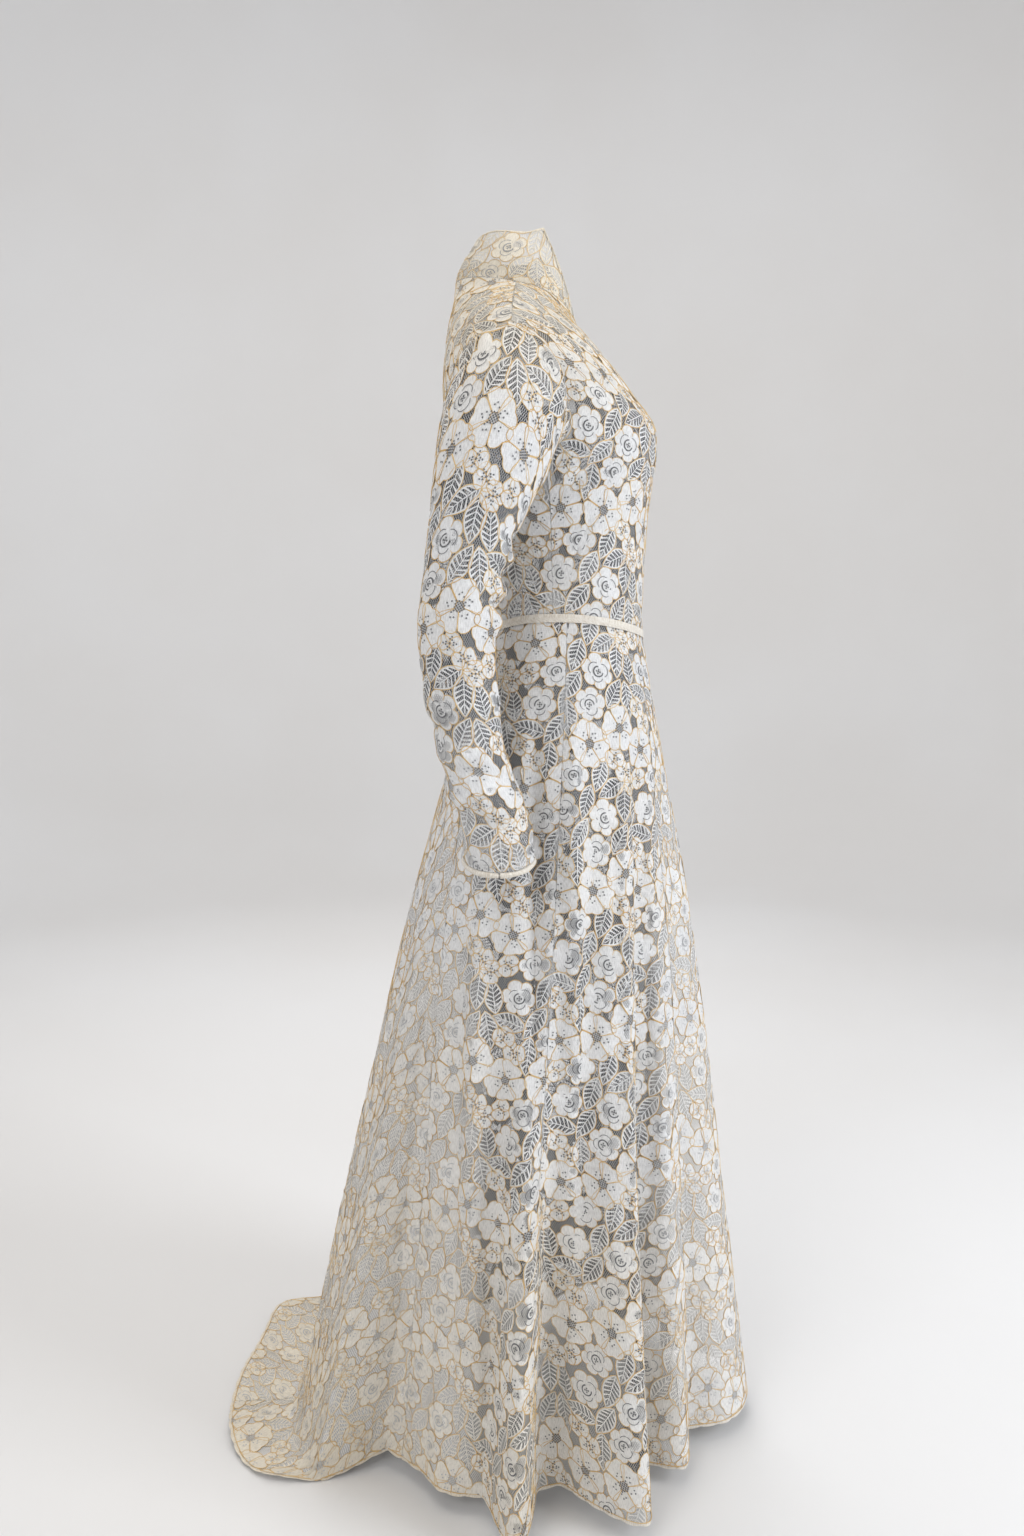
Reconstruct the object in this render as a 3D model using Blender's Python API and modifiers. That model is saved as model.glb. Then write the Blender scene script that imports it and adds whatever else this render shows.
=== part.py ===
"""Lace gown: high wing collar, V neck, long set-in sleeves, waist seam, fluted gored skirt with a sweep train.

Metres, +Z up. The origin is where the wearer's shoulders hold the gown, on the axis of the neck.
The gown faces -Y, so the wearer's right side is at -X. Heights in the tables are above the hem.
"""

from collections import namedtuple
from math import pi

import bpy
import numpy as np

# Driving dimensions
HOLD_HEIGHT = 1.430
HEM_ABOVE_FLOOR = 0.024
WAIST_HEIGHT = 1.052
WAIST_DIP = 0.009
UNDERARM_HEIGHT = 1.255
SHOULDER_TIP_HEIGHT = 1.390
CLOTH = 0.0015
SEAM_GAP = 0.0003
LAID_ON_GAP = 0.0006
SET_IN_GAP = 0.0008

# Outline of the bodice at each height: half width, reach in front of and behind the neck's axis,
# and how far in front of it the side line lies
Section = namedtuple("Section", "height half_width front back side")
BODICE_SECTIONS = (
    Section(1.040, 0.122, 0.167, 0.034, 0.050),
    Section(1.100, 0.125, 0.168, 0.042, 0.048),
    Section(1.190, 0.137, 0.171, 0.060, 0.045),
    Section(1.250, 0.148, 0.174, 0.074, 0.036),
    Section(1.290, 0.157, 0.172, 0.081, 0.022),
    Section(1.330, 0.171, 0.152, 0.085, 0.008),
    Section(1.355, 0.180, 0.137, 0.086, 0.002),
    Section(1.375, 0.178, 0.123, 0.085, 0.000),
    Section(1.390, 0.170, 0.112, 0.084, 0.000),
    Section(1.411, 0.150, 0.096, 0.082, 0.000),
    Section(1.426, 0.131, 0.083, 0.080, 0.001),
    Section(1.440, 0.112, 0.078, 0.077, 0.002),
    Section(1.453, 0.092, 0.075, 0.074, 0.004),
    Section(1.465, 0.072, 0.072, 0.072, 0.005),
    Section(1.485, 0.067, 0.068, 0.070, 0.005),
)
FRONT_SQUARENESS = 2.3
BACK_SQUARENESS = 2.4
NECK_FRONT_SQUARENESS = 1.7
NECK_BACK_SQUARENESS = 2.0
NECK_SQUARENESS_FROM = 1.32

# Cups, shaped by darts
CUP_REACH = 0.014
CUP_ANGLE = 27.0
CUP_HALF_ANGLE = 19.0
CUP_HEIGHT = 1.284
CUP_HALF_HEIGHT_BELOW = 0.075
CUP_HALF_HEIGHT_ABOVE = 0.045

# Armhole: how far it reaches forward and back of the side line, in degrees
ARMHOLE_FORWARD = 16.0
ARMHOLE_BACK = 34.0

# Neckline: height at each angle from the centre front round to the centre back
NeckPoint = namedtuple("NeckPoint", "angle height")
NECKLINE = (
    NeckPoint(0.0, 1.430),
    NeckPoint(20.0, 1.437),
    NeckPoint(45.0, 1.450),
    NeckPoint(70.0, 1.460),
    NeckPoint(90.0, 1.465),
    NeckPoint(135.0, 1.477),
    NeckPoint(180.0, 1.483),
)

# Collar's top edge, from its front point round to the centre back
CollarPoint = namedtuple("CollarPoint", "angle height")
COLLAR_TOP = (
    CollarPoint(50.0, 1.535),
    CollarPoint(75.0, 1.527),
    CollarPoint(110.0, 1.528),
    CollarPoint(180.0, 1.519),
)
COLLAR_TOP_HALF_WIDTH = 0.062
COLLAR_TOP_FRONT = 0.060
COLLAR_TOP_BACK = 0.052
COLLAR_BELLY = 0.004
COLLAR_START = 1.5

# Right sleeve, ring by ring from the shoulder: its outer and inner points, how far behind the neck's axis
# its middle lies, and half its depth from front to back
Ring = namedtuple("Ring", "outer outer_height inner inner_height behind half_depth")
SLEEVE_RINGS = (
    Ring(0.195, 1.373, 0.1540, 1.245, 0.003, 0.064),
    Ring(0.220, 1.347, 0.1575, 1.233, 0.008, 0.067),
    Ring(0.240, 1.312, 0.1615, 1.216, 0.014, 0.066),
    Ring(0.253, 1.270, 0.1655, 1.193, 0.022, 0.062),
    Ring(0.260, 1.220, 0.1695, 1.163, 0.033, 0.055),
    Ring(0.261, 1.165, 0.1730, 1.128, 0.045, 0.048),
    Ring(0.260, 1.110, 0.1760, 1.090, 0.054, 0.045),
    Ring(0.259, 1.057, 0.1780, 1.050, 0.0605, 0.0435),
    Ring(0.258, 1.008, 0.1790, 1.008, 0.060, 0.042),
    Ring(0.257, 0.960, 0.1800, 0.964, 0.056, 0.041),
    Ring(0.255, 0.908, 0.1820, 0.918, 0.046, 0.037),
    Ring(0.254, 0.858, 0.1850, 0.874, 0.030, 0.038),
    Ring(0.255, 0.815, 0.1880, 0.836, 0.020, 0.039),
    Ring(0.256, 0.778, 0.1900, 0.802, 0.015, 0.040),
)
CUFF_BINDING_RADIUS = 0.0033

# Skirt's hem, by the angle from the centre front round by the wearer's right: its reach from the neck's axis,
# and the height at which each fold or hollow starts
HemPoint = namedtuple("HemPoint", "angle reach start")
HEM = (
    HemPoint(0.0, 0.326, 0.95),
    HemPoint(8.0, 0.316, 0.90),
    HemPoint(14.0, 0.296, 0.90),
    HemPoint(22.0, 0.244, 0.90),
    HemPoint(36.0, 0.270, 0.98),
    HemPoint(46.0, 0.203, 0.98),
    HemPoint(58.0, 0.301, 0.99),
    HemPoint(73.0, 0.199, 0.86),
    HemPoint(80.0, 0.206, 0.82),
    HemPoint(89.0, 0.291, 0.78),
    HemPoint(100.0, 0.210, 0.78),
    HemPoint(110.0, 0.222, 0.80),
    HemPoint(126.0, 0.201, 0.84),
    HemPoint(141.0, 0.204, 0.80),
    HemPoint(149.0, 0.296, 0.80),
    HemPoint(156.0, 0.348, 0.80),
    HemPoint(167.0, 0.376, 0.80),
    HemPoint(180.0, 0.388, 0.80),
    HemPoint(192.0, 0.395, 0.80),
    HemPoint(204.0, 0.414, 0.80),
    HemPoint(213.0, 0.436, 0.80),
    HemPoint(221.0, 0.400, 0.80),
    HemPoint(229.0, 0.292, 0.80),
    HemPoint(238.0, 0.216, 0.80),
    HemPoint(249.0, 0.232, 0.82),
    HemPoint(260.0, 0.208, 0.80),
    HemPoint(271.0, 0.284, 0.79),
    HemPoint(282.0, 0.207, 0.86),
    HemPoint(298.0, 0.294, 0.97),
    HemPoint(311.0, 0.212, 0.95),
    HemPoint(325.0, 0.280, 0.97),
    HemPoint(337.0, 0.240, 0.92),
    HemPoint(347.0, 0.302, 0.90),
    HemPoint(360.0, 0.326, 0.95),
)

# Plain skirt without its folds: reach at the hem by angle
PlainPoint = namedtuple("PlainPoint", "angle reach")
PLAIN_HEM = (
    PlainPoint(0.0, 0.316),
    PlainPoint(45.0, 0.262),
    PlainPoint(90.0, 0.246),
    PlainPoint(135.0, 0.250),
    PlainPoint(180.0, 0.275),
    PlainPoint(225.0, 0.252),
    PlainPoint(270.0, 0.246),
    PlainPoint(315.0, 0.260),
    PlainPoint(360.0, 0.316),
)

# Skirt's spread from the waist ring to the plain hem, by the share of its height
SpreadPoint = namedtuple("SpreadPoint", "down spread")
SPREAD = (
    SpreadPoint(0.0, 0.0),
    SpreadPoint(0.09, 0.115),
    SpreadPoint(0.20, 0.250),
    SpreadPoint(0.34, 0.415),
    SpreadPoint(0.55, 0.615),
    SpreadPoint(0.80, 0.835),
    SpreadPoint(1.0, 1.0),
)
FOLD_GROWTH = 1.25

# Train: where it starts and ends, how far out it meets the floor, and the ripples of the part that lies there
TRAIN_FROM = 141.0
TRAIN_TO = 236.0
TRAIN_EDGE = 8.0
FLOOR_REACH = 0.292
FLOOR_BEND = 0.022
LAID_FOR_FULL_BEND = 0.05
HEM_LIFT = 0.003
RIPPLE_HEIGHT = 0.006
RIPPLES = 9

# Fullness over the hips
HIP_REACH = 0.016
HIP_DOWN = 0.20

# Rows down the skirt, closer together where it turns onto the floor
SKIRT_ROWS = tuple(np.concatenate([np.linspace(0.0, 0.80, 10), np.linspace(0.845, 1.0, 5)]))

# Gores, by the angles of their seams and their columns
Gore = namedtuple("Gore", "name start end columns")
GORES = (
    Gore("skirt_side_front_right", 29.0, 84.0, 18),
    Gore("skirt_side_back_right", 84.0, 134.0, 11),
    Gore("skirt_back_right", 134.0, 180.0, 13),
    Gore("skirt_back_left", 180.0, 240.0, 15),
    Gore("skirt_side_back_left", 240.0, 276.5, 11),
    Gore("skirt_side_front_left", 276.5, 331.0, 18),
    Gore("skirt_front", 331.0, 389.0, 18),
)

# Steps of the other panels
NECK_STEPS_FRONT = 5
NECK_STEPS_BACK = 6
ARMHOLE_STEPS = 10
SIDE_STEPS = 7
FRONT_COLUMNS = 12
BACK_COLUMNS = 9
COLLAR_ROWS = 4
BAND_COLUMNS = 96
BAND_HALF_WIDTH = 0.005
BAND_END_ANGLE = 0.12

# Steps over which a surface's direction is measured, in degrees and in metres or shares
ANGLE_STEP = 0.05
SMALL_STEP = 0.0005


def clear_scene():
    for obj in list(bpy.data.objects):
        bpy.data.objects.remove(obj)


def lace_material(name, colour, roughness):
    material = bpy.data.materials.new(name)
    material.use_nodes = True
    shader = material.node_tree.nodes["Principled BSDF"]
    shader.inputs["Base Color"].default_value = (*colour, 1.0)
    shader.inputs["Roughness"].default_value = roughness
    shader.inputs["Metallic"].default_value = 0.0
    return material


def read(table, name, at):
    """A smooth curve through one column of a table, level at each crest and hollow."""
    xs = np.array([row[0] for row in table])
    ys = np.array([getattr(row, name) for row in table])
    step = np.diff(xs)
    rise = np.diff(ys) / step
    slope = np.zeros(len(xs))
    slope[0] = rise[0]
    slope[-1] = rise[-1]
    same_way = rise[1:] * rise[:-1] > 0
    before = 2 * step[1:] + step[:-1]
    after = step[1:] + 2 * step[:-1]
    with np.errstate(divide="ignore", invalid="ignore"):
        mean = (before + after) / (before / rise[:-1] + after / rise[1:])
    slope[1:-1] = np.where(same_way, mean, 0.0)
    at = np.clip(np.asarray(at, float), xs[0], xs[-1])
    i = np.clip(np.searchsorted(xs, at, side="right") - 1, 0, len(xs) - 2)
    t = (at - xs[i]) / step[i]
    return (
        ys[i] * (1 + 2 * t) * (1 - t) ** 2
        + slope[i] * step[i] * t * (1 - t) ** 2
        + ys[i + 1] * t * t * (3 - 2 * t)
        + slope[i + 1] * step[i] * t * t * (t - 1)
    )


def read_round(table, name, angle):
    """The same, for a table that closes on itself at 360 degrees."""
    turned = [row._replace(angle=row.angle - 360.0) for row in table[:-1]]
    return read(tuple(turned[-3:]) + tuple(table), name, np.mod(angle, 360.0))


def place(right, forward, height):
    """A point from how far it is to the wearer's right, in front of the neck's axis and above the hem."""
    right, forward, height = np.broadcast_arrays(right, forward, height)
    return np.stack([-right, -forward, height - HOLD_HEIGHT], axis=-1)


def ease(value):
    value = np.clip(value, 0.0, 1.0)
    return value * value * (3 - 2 * value)


def power(value, exponent):
    return np.sign(value) * np.abs(value) ** exponent


def waist_height(angle):
    """The waist seam dips a little at the front and rises at the sides."""
    return WAIST_HEIGHT - WAIST_DIP * np.cos(2 * np.radians(angle))


def cups(angle, height):
    """How far the two cups stand out, by angle in degrees from the centre front and by height."""
    off = np.abs(np.mod(angle + 180.0, 360.0) - 180.0) - CUP_ANGLE
    tall = np.where(height > CUP_HEIGHT, CUP_HALF_HEIGHT_ABOVE, CUP_HALF_HEIGHT_BELOW)
    return CUP_REACH * np.exp(-((off / CUP_HALF_ANGLE) ** 2) - ((height - CUP_HEIGHT) / tall) ** 2)


def bodice_surface(angle, height):
    """Points on the bodice's outer face, by angle round by the wearer's right and by height."""
    angle, height = np.broadcast_arrays(np.asarray(angle, float), np.asarray(height, float))
    turn = np.radians(angle)
    ahead = np.cos(turn)
    side = read(BODICE_SECTIONS, "side", height)
    front = read(BODICE_SECTIONS, "front", height) - side
    back = read(BODICE_SECTIONS, "back", height) + side
    body = np.where(ahead > 0, FRONT_SQUARENESS, BACK_SQUARENESS)
    neck = np.where(ahead > 0, NECK_FRONT_SQUARENESS, NECK_BACK_SQUARENESS)
    rise = (height - NECK_SQUARENESS_FROM) / (NECKLINE[0].height - NECK_SQUARENESS_FROM)
    squareness = body + (neck - body) * ease(rise)
    right = read(BODICE_SECTIONS, "half_width", height) * power(np.sin(turn), 2 / squareness)
    forward = side + np.where(ahead > 0, front, back) * power(ahead, 2 / squareness)
    return place(right, forward + cups(angle, height), height)


def armhole(turn):
    """Angle and height along the armhole, from its top at 0 by the back at 90 degrees and down to 180."""
    turn = np.asarray(turn, float)
    across = np.sin(np.radians(turn))
    middle = (SHOULDER_TIP_HEIGHT + UNDERARM_HEIGHT) / 2
    half = (SHOULDER_TIP_HEIGHT - UNDERARM_HEIGHT) / 2
    angle = 90.0 + np.where(across > 0, ARMHOLE_BACK, ARMHOLE_FORWARD) * across
    return angle, middle + half * np.cos(np.radians(turn))


def outer_edge(way):
    """Armhole and side seam from the shoulder tip down to the waist; way is -1 for the front, 1 for the back."""
    turn = way * np.linspace(0.0, 180.0, ARMHOLE_STEPS + 1)
    angle, height = armhole(turn)
    below = np.linspace(UNDERARM_HEIGHT, waist_height(90.0), SIDE_STEPS + 1)[1:]
    return np.concatenate([angle, np.full(SIDE_STEPS, 90.0)]), np.concatenate([height, below])


def inner_edge(centre, neck_steps):
    """Neckline and centre line from the neck's side down to the waist; centre is 0 in front, 180 behind."""
    angle = np.linspace(90.0, centre, neck_steps + 1)
    height = read(NECKLINE, "height", angle)
    steps = ARMHOLE_STEPS + SIDE_STEPS - neck_steps
    below = np.linspace(height[-1], waist_height(centre), steps + 1)[1:]
    return np.concatenate([angle, np.full(steps, centre)]), np.concatenate([height, below])


def bodice_panel(centre, neck_steps, columns):
    """A quarter of the bodice: rows down from the shoulder seam, columns away from the centre front."""
    way = -1 if centre == 0.0 else 1
    outer = outer_edge(way)
    inner = inner_edge(centre, neck_steps)
    first, last = (inner, outer) if way < 0 else (outer, inner)
    share = np.linspace(0.0, 1.0, columns + 1)
    angle = first[0][:, None] * (1 - share) + last[0][:, None] * share
    height = first[1][:, None] * (1 - share) + last[1][:, None] * share
    height[-1] = waist_height(angle[-1]) + SEAM_GAP / 2
    outer, inner = wall(bodice_surface, angle, height)
    for points in (outer, inner):
        points[..., 1] += np.where(np.isclose(angle, 90.0), way * SEAM_GAP / 2, 0.0)
        if way > 0:
            points[..., 0] = np.minimum(points[..., 0], -SEAM_GAP / 2)
        else:
            points[..., 0] = np.where(np.isclose(angle, 0.0), 0.0, points[..., 0])
    return outer, inner


def outward(surface, angle, other, way=1.0):
    """The outward direction of a surface given by angle and by height, or by the way down where way is -1."""
    along = surface(angle + ANGLE_STEP, other) - surface(angle - ANGLE_STEP, other)
    up = surface(angle, other + SMALL_STEP) - surface(angle, other - SMALL_STEP)
    normal = way * np.cross(up, along)
    return normal / np.linalg.norm(normal, axis=-1, keepdims=True)


def wall(surface, angle, other, way=1.0):
    """The outer and inner points of cloth on a surface, so that panels that share a seam stay parallel there."""
    outer = surface(angle, other)
    return outer, outer - CLOTH * outward(surface, angle, other, way)


def collar_surface(angle, up):
    """Points on the collar, by angle along the neckline and by the share of the way up to its top edge."""
    angle, up = np.broadcast_arrays(np.asarray(angle, float), np.asarray(up, float))
    base = bodice_surface(angle, read(NECKLINE, "height", 180.0 - np.abs(180.0 - angle)))
    base[..., 2] += SET_IN_GAP
    top_angle = COLLAR_TOP[0].angle + (180.0 - COLLAR_TOP[0].angle) * angle / 180.0
    turn = np.radians(top_angle)
    top = place(
        COLLAR_TOP_HALF_WIDTH * np.sin(turn),
        np.where(np.cos(turn) > 0, COLLAR_TOP_FRONT, COLLAR_TOP_BACK) * np.cos(turn),
        read(COLLAR_TOP, "height", 180.0 - np.abs(180.0 - top_angle)),
    )
    points = base + (top - base) * up[..., None]
    away = points[..., :2] / np.linalg.norm(points[..., :2], axis=-1, keepdims=True)
    points[..., :2] += away * (COLLAR_BELLY * np.sin(pi * up))[..., None]
    return points


def collar_panel():
    """Right half of the collar: rows down from its top edge, columns from its front edge round to the back."""
    front = np.linspace(0.0, 90.0, NECK_STEPS_FRONT + 1)[1:]
    back = np.linspace(90.0, 180.0, NECK_STEPS_BACK + 1)[1:]
    angle = np.concatenate([[COLLAR_START], front, back])
    up = np.linspace(1.0, 0.0, COLLAR_ROWS + 1)
    outer, inner = wall(collar_surface, angle[None, :], up[:, None])
    for points in (outer, inner):
        points[..., 0] = np.minimum(points[..., 0], -SEAM_GAP / 2)
    return outer, inner


def sleeve_panel():
    """Right sleeve: rows down from the armhole, columns from its top round by the back, closed on itself."""
    turn = np.linspace(0.0, 360.0, 2 * ARMHOLE_STEPS, endpoint=False)
    angle, height = armhole(turn)
    first = bodice_surface(angle, height) + SET_IN_GAP * outward(bodice_surface, angle, height)
    rows = [first]
    for ring in SLEEVE_RINGS:
        out = np.cos(np.radians(turn))
        back = np.sin(np.radians(turn))
        rows.append(
            place(
                (ring.outer + ring.inner) / 2 + (ring.outer - ring.inner) / 2 * out,
                -ring.behind - ring.half_depth * back,
                (ring.outer_height + ring.inner_height) / 2
                + (ring.outer_height - ring.inner_height) / 2 * out,
            )
        )
    outer = np.array(rows)
    along = np.roll(outer, -1, axis=1) - np.roll(outer, 1, axis=1)
    down = np.gradient(outer, axis=0)
    normal = np.cross(along, down)
    normal /= np.linalg.norm(normal, axis=-1, keepdims=True)
    return outer, outer - CLOTH * normal


def train_share(angle):
    """One where the hem lies on the floor behind, none where it hangs level round the front and sides."""
    return ease((angle - TRAIN_FROM) / TRAIN_EDGE) * ease((TRAIN_TO - angle) / TRAIN_EDGE)


def skirt_surface(angle, down):
    """Points on the skirt's outer face, by angle and by the share of the way down from waist to hem."""
    angle, down = np.broadcast_arrays(np.asarray(angle, float), np.asarray(down, float))
    angle = np.mod(angle, 360.0)
    turn = np.radians(angle)
    top = waist_height(angle)
    waist = bodice_surface(angle, top)
    hem = read_round(HEM, "reach", angle)
    plain = read_round(PLAIN_HEM, "reach", angle)
    start = read_round(HEM, "start", angle)
    train = train_share(angle)
    laid = np.maximum(hem - FLOOR_REACH, 0.0) * train
    standing = hem - laid
    end_height = HEM_LIFT + train * (CLOTH + SEAM_GAP - HEM_ABOVE_FLOOR - HEM_LIFT)
    drop = top - end_height
    bend = FLOOR_BEND * np.minimum(laid / LAID_FOR_FULL_BEND, 1.0)
    left = drop - down * (drop + laid)
    above = (left + np.sqrt(left * left + bend * bend)) / 2
    beyond = (np.sqrt(left * left + bend * bend) - left) / 2
    height = end_height + above
    share = np.clip((top - height) / drop, 0.0, 1.0)
    spread = read(SPREAD, "spread", share)
    folded = np.clip((start - height) / (start - end_height), 0.0, 1.0) ** FOLD_GROWTH
    straight = waist[..., :2] * (1 - spread[..., None])
    ray = np.stack([-np.sin(turn), -np.cos(turn)], axis=-1)
    hip = HIP_REACH * np.sin(turn) ** 2 * (share / HIP_DOWN) * np.exp(1.0 - share / HIP_DOWN)
    out = plain * spread + (standing - plain) * folded + hip * (1.0 - share) + beyond
    ripple = RIPPLE_HEIGHT * np.sin(RIPPLES * turn) ** 2 * np.clip(beyond / LAID_FOR_FULL_BEND, 0.0, 1.0)
    flat = straight + ray * out[..., None]
    return np.concatenate([flat, (height + ripple - HOLD_HEIGHT)[..., None]], axis=-1)


def gore_angles(gore):
    """A gore's columns, spaced evenly along its hem."""
    fine = np.linspace(gore.start, gore.end, 400)
    hem = skirt_surface(fine, 1.0)
    length = np.concatenate([[0.0], np.cumsum(np.linalg.norm(np.diff(hem, axis=0), axis=1))])
    return np.interp(np.linspace(0.0, length[-1], gore.columns + 1), length, fine)


def gore_panel(gore):
    """A gore: rows down from the waist, columns round by the wearer's right, parted from its neighbours."""
    angles = gore_angles(gore)
    rows = np.array(SKIRT_ROWS)
    outer, inner = wall(skirt_surface, angles[None, :], rows[:, None], -1.0)
    for edge, neighbour in ((0, 1), (-1, -2)):
        along = outer[:, neighbour] - outer[:, edge]
        along /= np.linalg.norm(along, axis=-1, keepdims=True)
        outer[:, edge] += along * SEAM_GAP / 2
        inner[:, edge] += along * SEAM_GAP / 2
    for points in (outer, inner):
        points[0, :, 2] -= SEAM_GAP / 2
    return outer, inner


def band_panel():
    """The waist band: a narrow strip laid over the waist seam, open at the centre back."""
    angle = 180.0 + np.linspace(BAND_END_ANGLE, 360.0 - BAND_END_ANGLE, BAND_COLUMNS + 1)
    bodice = bodice_surface(angle, waist_height(angle) + BAND_HALF_WIDTH)
    waist = bodice_surface(angle, waist_height(angle))
    skirt = skirt_surface(angle, BAND_HALF_WIDTH / WAIST_HEIGHT)
    inner = np.array([bodice, waist, skirt])
    turn = np.radians(angle)
    ray = np.stack([-np.sin(turn), -np.cos(turn), 0.0 * turn], axis=-1)
    inner += ray * LAID_ON_GAP
    return inner + ray * CLOTH, inner


def mirrored(panel):
    """The same panel for the wearer's left side."""
    return tuple(points[:, ::-1] * np.array([-1.0, 1.0, 1.0]) for points in panel)


def grid_quads(rows, columns, closed):
    """Corners of the quads between rows of points, wound so that their fronts face out."""
    return [
        (
            i * columns + j,
            i * columns + (j + 1) % columns,
            (i + 1) * columns + (j + 1) % columns,
            (i + 1) * columns + j,
        )
        for i in range(rows - 1)
        for j in range(columns if closed else columns - 1)
    ]


def rim_edges(quads):
    """The edges that only one quad has, in that quad's order."""
    edges = [(quad[k], quad[(k + 1) % 4]) for quad in quads for k in range(4)]
    known = set(edges)
    return [(a, b) for a, b in edges if (b, a) not in known]


def add_panel(name, panel, material, gown, closed=False, open_at_centre=False):
    """A panel of cloth: its outer face, its inner face and the rim between them."""
    outer, inner = panel
    rows, columns = outer.shape[:2]
    outside = grid_quads(rows, columns, closed)
    count = rows * columns
    points = np.concatenate([outer.reshape(-1, 3), inner.reshape(-1, 3)])
    inside = [tuple(count + corner for corner in reversed(quad)) for quad in outside]
    rim = [
        (b, a, count + a, count + b)
        for a, b in rim_edges(outside)
        if not (open_at_centre and points[a, 0] == 0.0 and points[b, 0] == 0.0)
    ]
    mesh = bpy.data.meshes.new(name)
    mesh.from_pydata([tuple(point) for point in points], [], outside + inside + rim)
    mesh.shade_smooth()
    mesh.materials.append(material)
    obj = bpy.data.objects.new(name, mesh)
    gown.objects.link(obj)
    return obj


def make_bodice(gown):
    lace = lace_material("bodice_lace", (0.84, 0.80, 0.72), 0.85)
    half = bodice_panel(0.0, NECK_STEPS_FRONT, FRONT_COLUMNS)
    front = add_panel("bodice_front", half, lace, gown, open_at_centre=True)
    halves = front.modifiers.new("halves", "MIRROR")
    halves.use_axis = (True, False, False)
    halves.merge_threshold = 0.00005
    back = bodice_panel(180.0, NECK_STEPS_BACK, BACK_COLUMNS)
    add_panel("bodice_back_right", back, lace, gown)
    add_panel("bodice_back_left", mirrored(back), lace, gown)


def make_collar(gown):
    lace = lace_material("collar_lace", (0.86, 0.80, 0.68), 0.85)
    half = collar_panel()
    add_panel("collar_right", half, lace, gown)
    add_panel("collar_left", mirrored(half), lace, gown)


def make_sleeves(gown):
    lace = lace_material("sleeve_lace", (0.84, 0.80, 0.72), 0.85)
    right = sleeve_panel()
    add_panel("sleeve_right", right, lace, gown, closed=True)
    add_panel("sleeve_left", mirrored(right), lace, gown, closed=True)


def make_cuff_bindings(gown):
    """A rolled binding just below each sleeve's edge."""
    satin = lace_material("cuff_binding_cloth", (0.87, 0.81, 0.68), 0.6)
    outer, inner = sleeve_panel()
    below = np.array([0.0, 0.0, CUFF_BINDING_RADIUS + SET_IN_GAP])
    route = (outer[-1] + inner[-1]) / 2 - below
    for side, sign in (("right", 1.0), ("left", -1.0)):
        curve = bpy.data.curves.new(f"cuff_binding_{side}", "CURVE")
        curve.dimensions = "3D"
        curve.bevel_depth = CUFF_BINDING_RADIUS
        curve.bevel_resolution = 1
        spline = curve.splines.new("POLY")
        spline.points.add(len(route) - 1)
        for point, at in zip(spline.points, route):
            point.co = (sign * at[0], at[1], at[2], 1.0)
        spline.use_cyclic_u = True
        obj = bpy.data.objects.new(f"cuff_binding_{side}", curve)
        curve.materials.append(satin)
        gown.objects.link(obj)


def make_waist_band(gown):
    satin = lace_material("waist_band_cloth", (0.88, 0.82, 0.70), 0.7)
    add_panel("waist_band", band_panel(), satin, gown)


def make_skirt(gown):
    lace = lace_material("skirt_lace", (0.85, 0.80, 0.71), 0.85)
    for gore in GORES:
        add_panel(gore.name, gore_panel(gore), lace, gown)


def main():
    clear_scene()
    gown = bpy.data.collections.new("lace_gown")
    bpy.context.scene.collection.children.link(gown)
    make_bodice(gown)
    make_collar(gown)
    make_sleeves(gown)
    make_cuff_bindings(gown)
    make_waist_band(gown)
    make_skirt(gown)


main()
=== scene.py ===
"""Lace gown, dressed over its frame: floral lace panels, trims, bindings and a plain studio.

Metres, +Z up, in the frame's own axes. The origin is where the wearer's shoulders hold the gown.
The gown faces -Y, so the wearer's right side is at -X. Heights in the tables are above the hem.
"""

from collections import namedtuple
from math import pi

import bpy
import numpy as np
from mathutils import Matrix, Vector


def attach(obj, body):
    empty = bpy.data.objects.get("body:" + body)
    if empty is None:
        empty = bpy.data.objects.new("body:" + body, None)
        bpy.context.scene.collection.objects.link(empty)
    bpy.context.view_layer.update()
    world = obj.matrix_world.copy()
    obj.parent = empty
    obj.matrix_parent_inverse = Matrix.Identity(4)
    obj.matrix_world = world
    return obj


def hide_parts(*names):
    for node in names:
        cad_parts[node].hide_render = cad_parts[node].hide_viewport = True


bl_info = {
    "name": "Lace Gown",
    "version": (1, 0, 0),
    "blender": (4, 5, 0),
    "location": "3D View > Sidebar > Lace Gown",
    "description": "Dresses the lace gown's frame with floral lace, bands and bindings",
    "category": "Object",
}

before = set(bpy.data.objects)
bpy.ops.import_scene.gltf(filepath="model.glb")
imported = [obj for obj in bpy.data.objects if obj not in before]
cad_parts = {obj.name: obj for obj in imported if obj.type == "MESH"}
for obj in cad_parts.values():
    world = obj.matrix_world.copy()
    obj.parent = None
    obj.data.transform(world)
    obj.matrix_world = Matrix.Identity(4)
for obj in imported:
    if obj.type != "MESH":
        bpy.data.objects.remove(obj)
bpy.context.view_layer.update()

# Driving dimensions, shared with the frame
HOLD_HEIGHT = 1.430
HEM_ABOVE_FLOOR = 0.024
WAIST_HEIGHT = 1.052
WAIST_DIP = 0.009
UNDERARM_HEIGHT = 1.255
SHOULDER_TIP_HEIGHT = 1.390
CLOTH = 0.0015
SEAM_GAP = 0.0003
SET_IN_GAP = 0.0008
BAND_HALF_WIDTH = 0.005
CUFF_BINDING_RADIUS = 0.0033

# Waist band's cloth: its opening at the back in degrees, how far it stands off, swells and waves,
# and its flat width
BAND_OPENING = 0.12
BAND_LIFT = 0.0021
BAND_SWELL = 0.0006
BAND_UNEVEN = 0.00018

# How far inside the sleeve's last ring each cuff binding runs
BINDING_INSET = 0.0008


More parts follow.
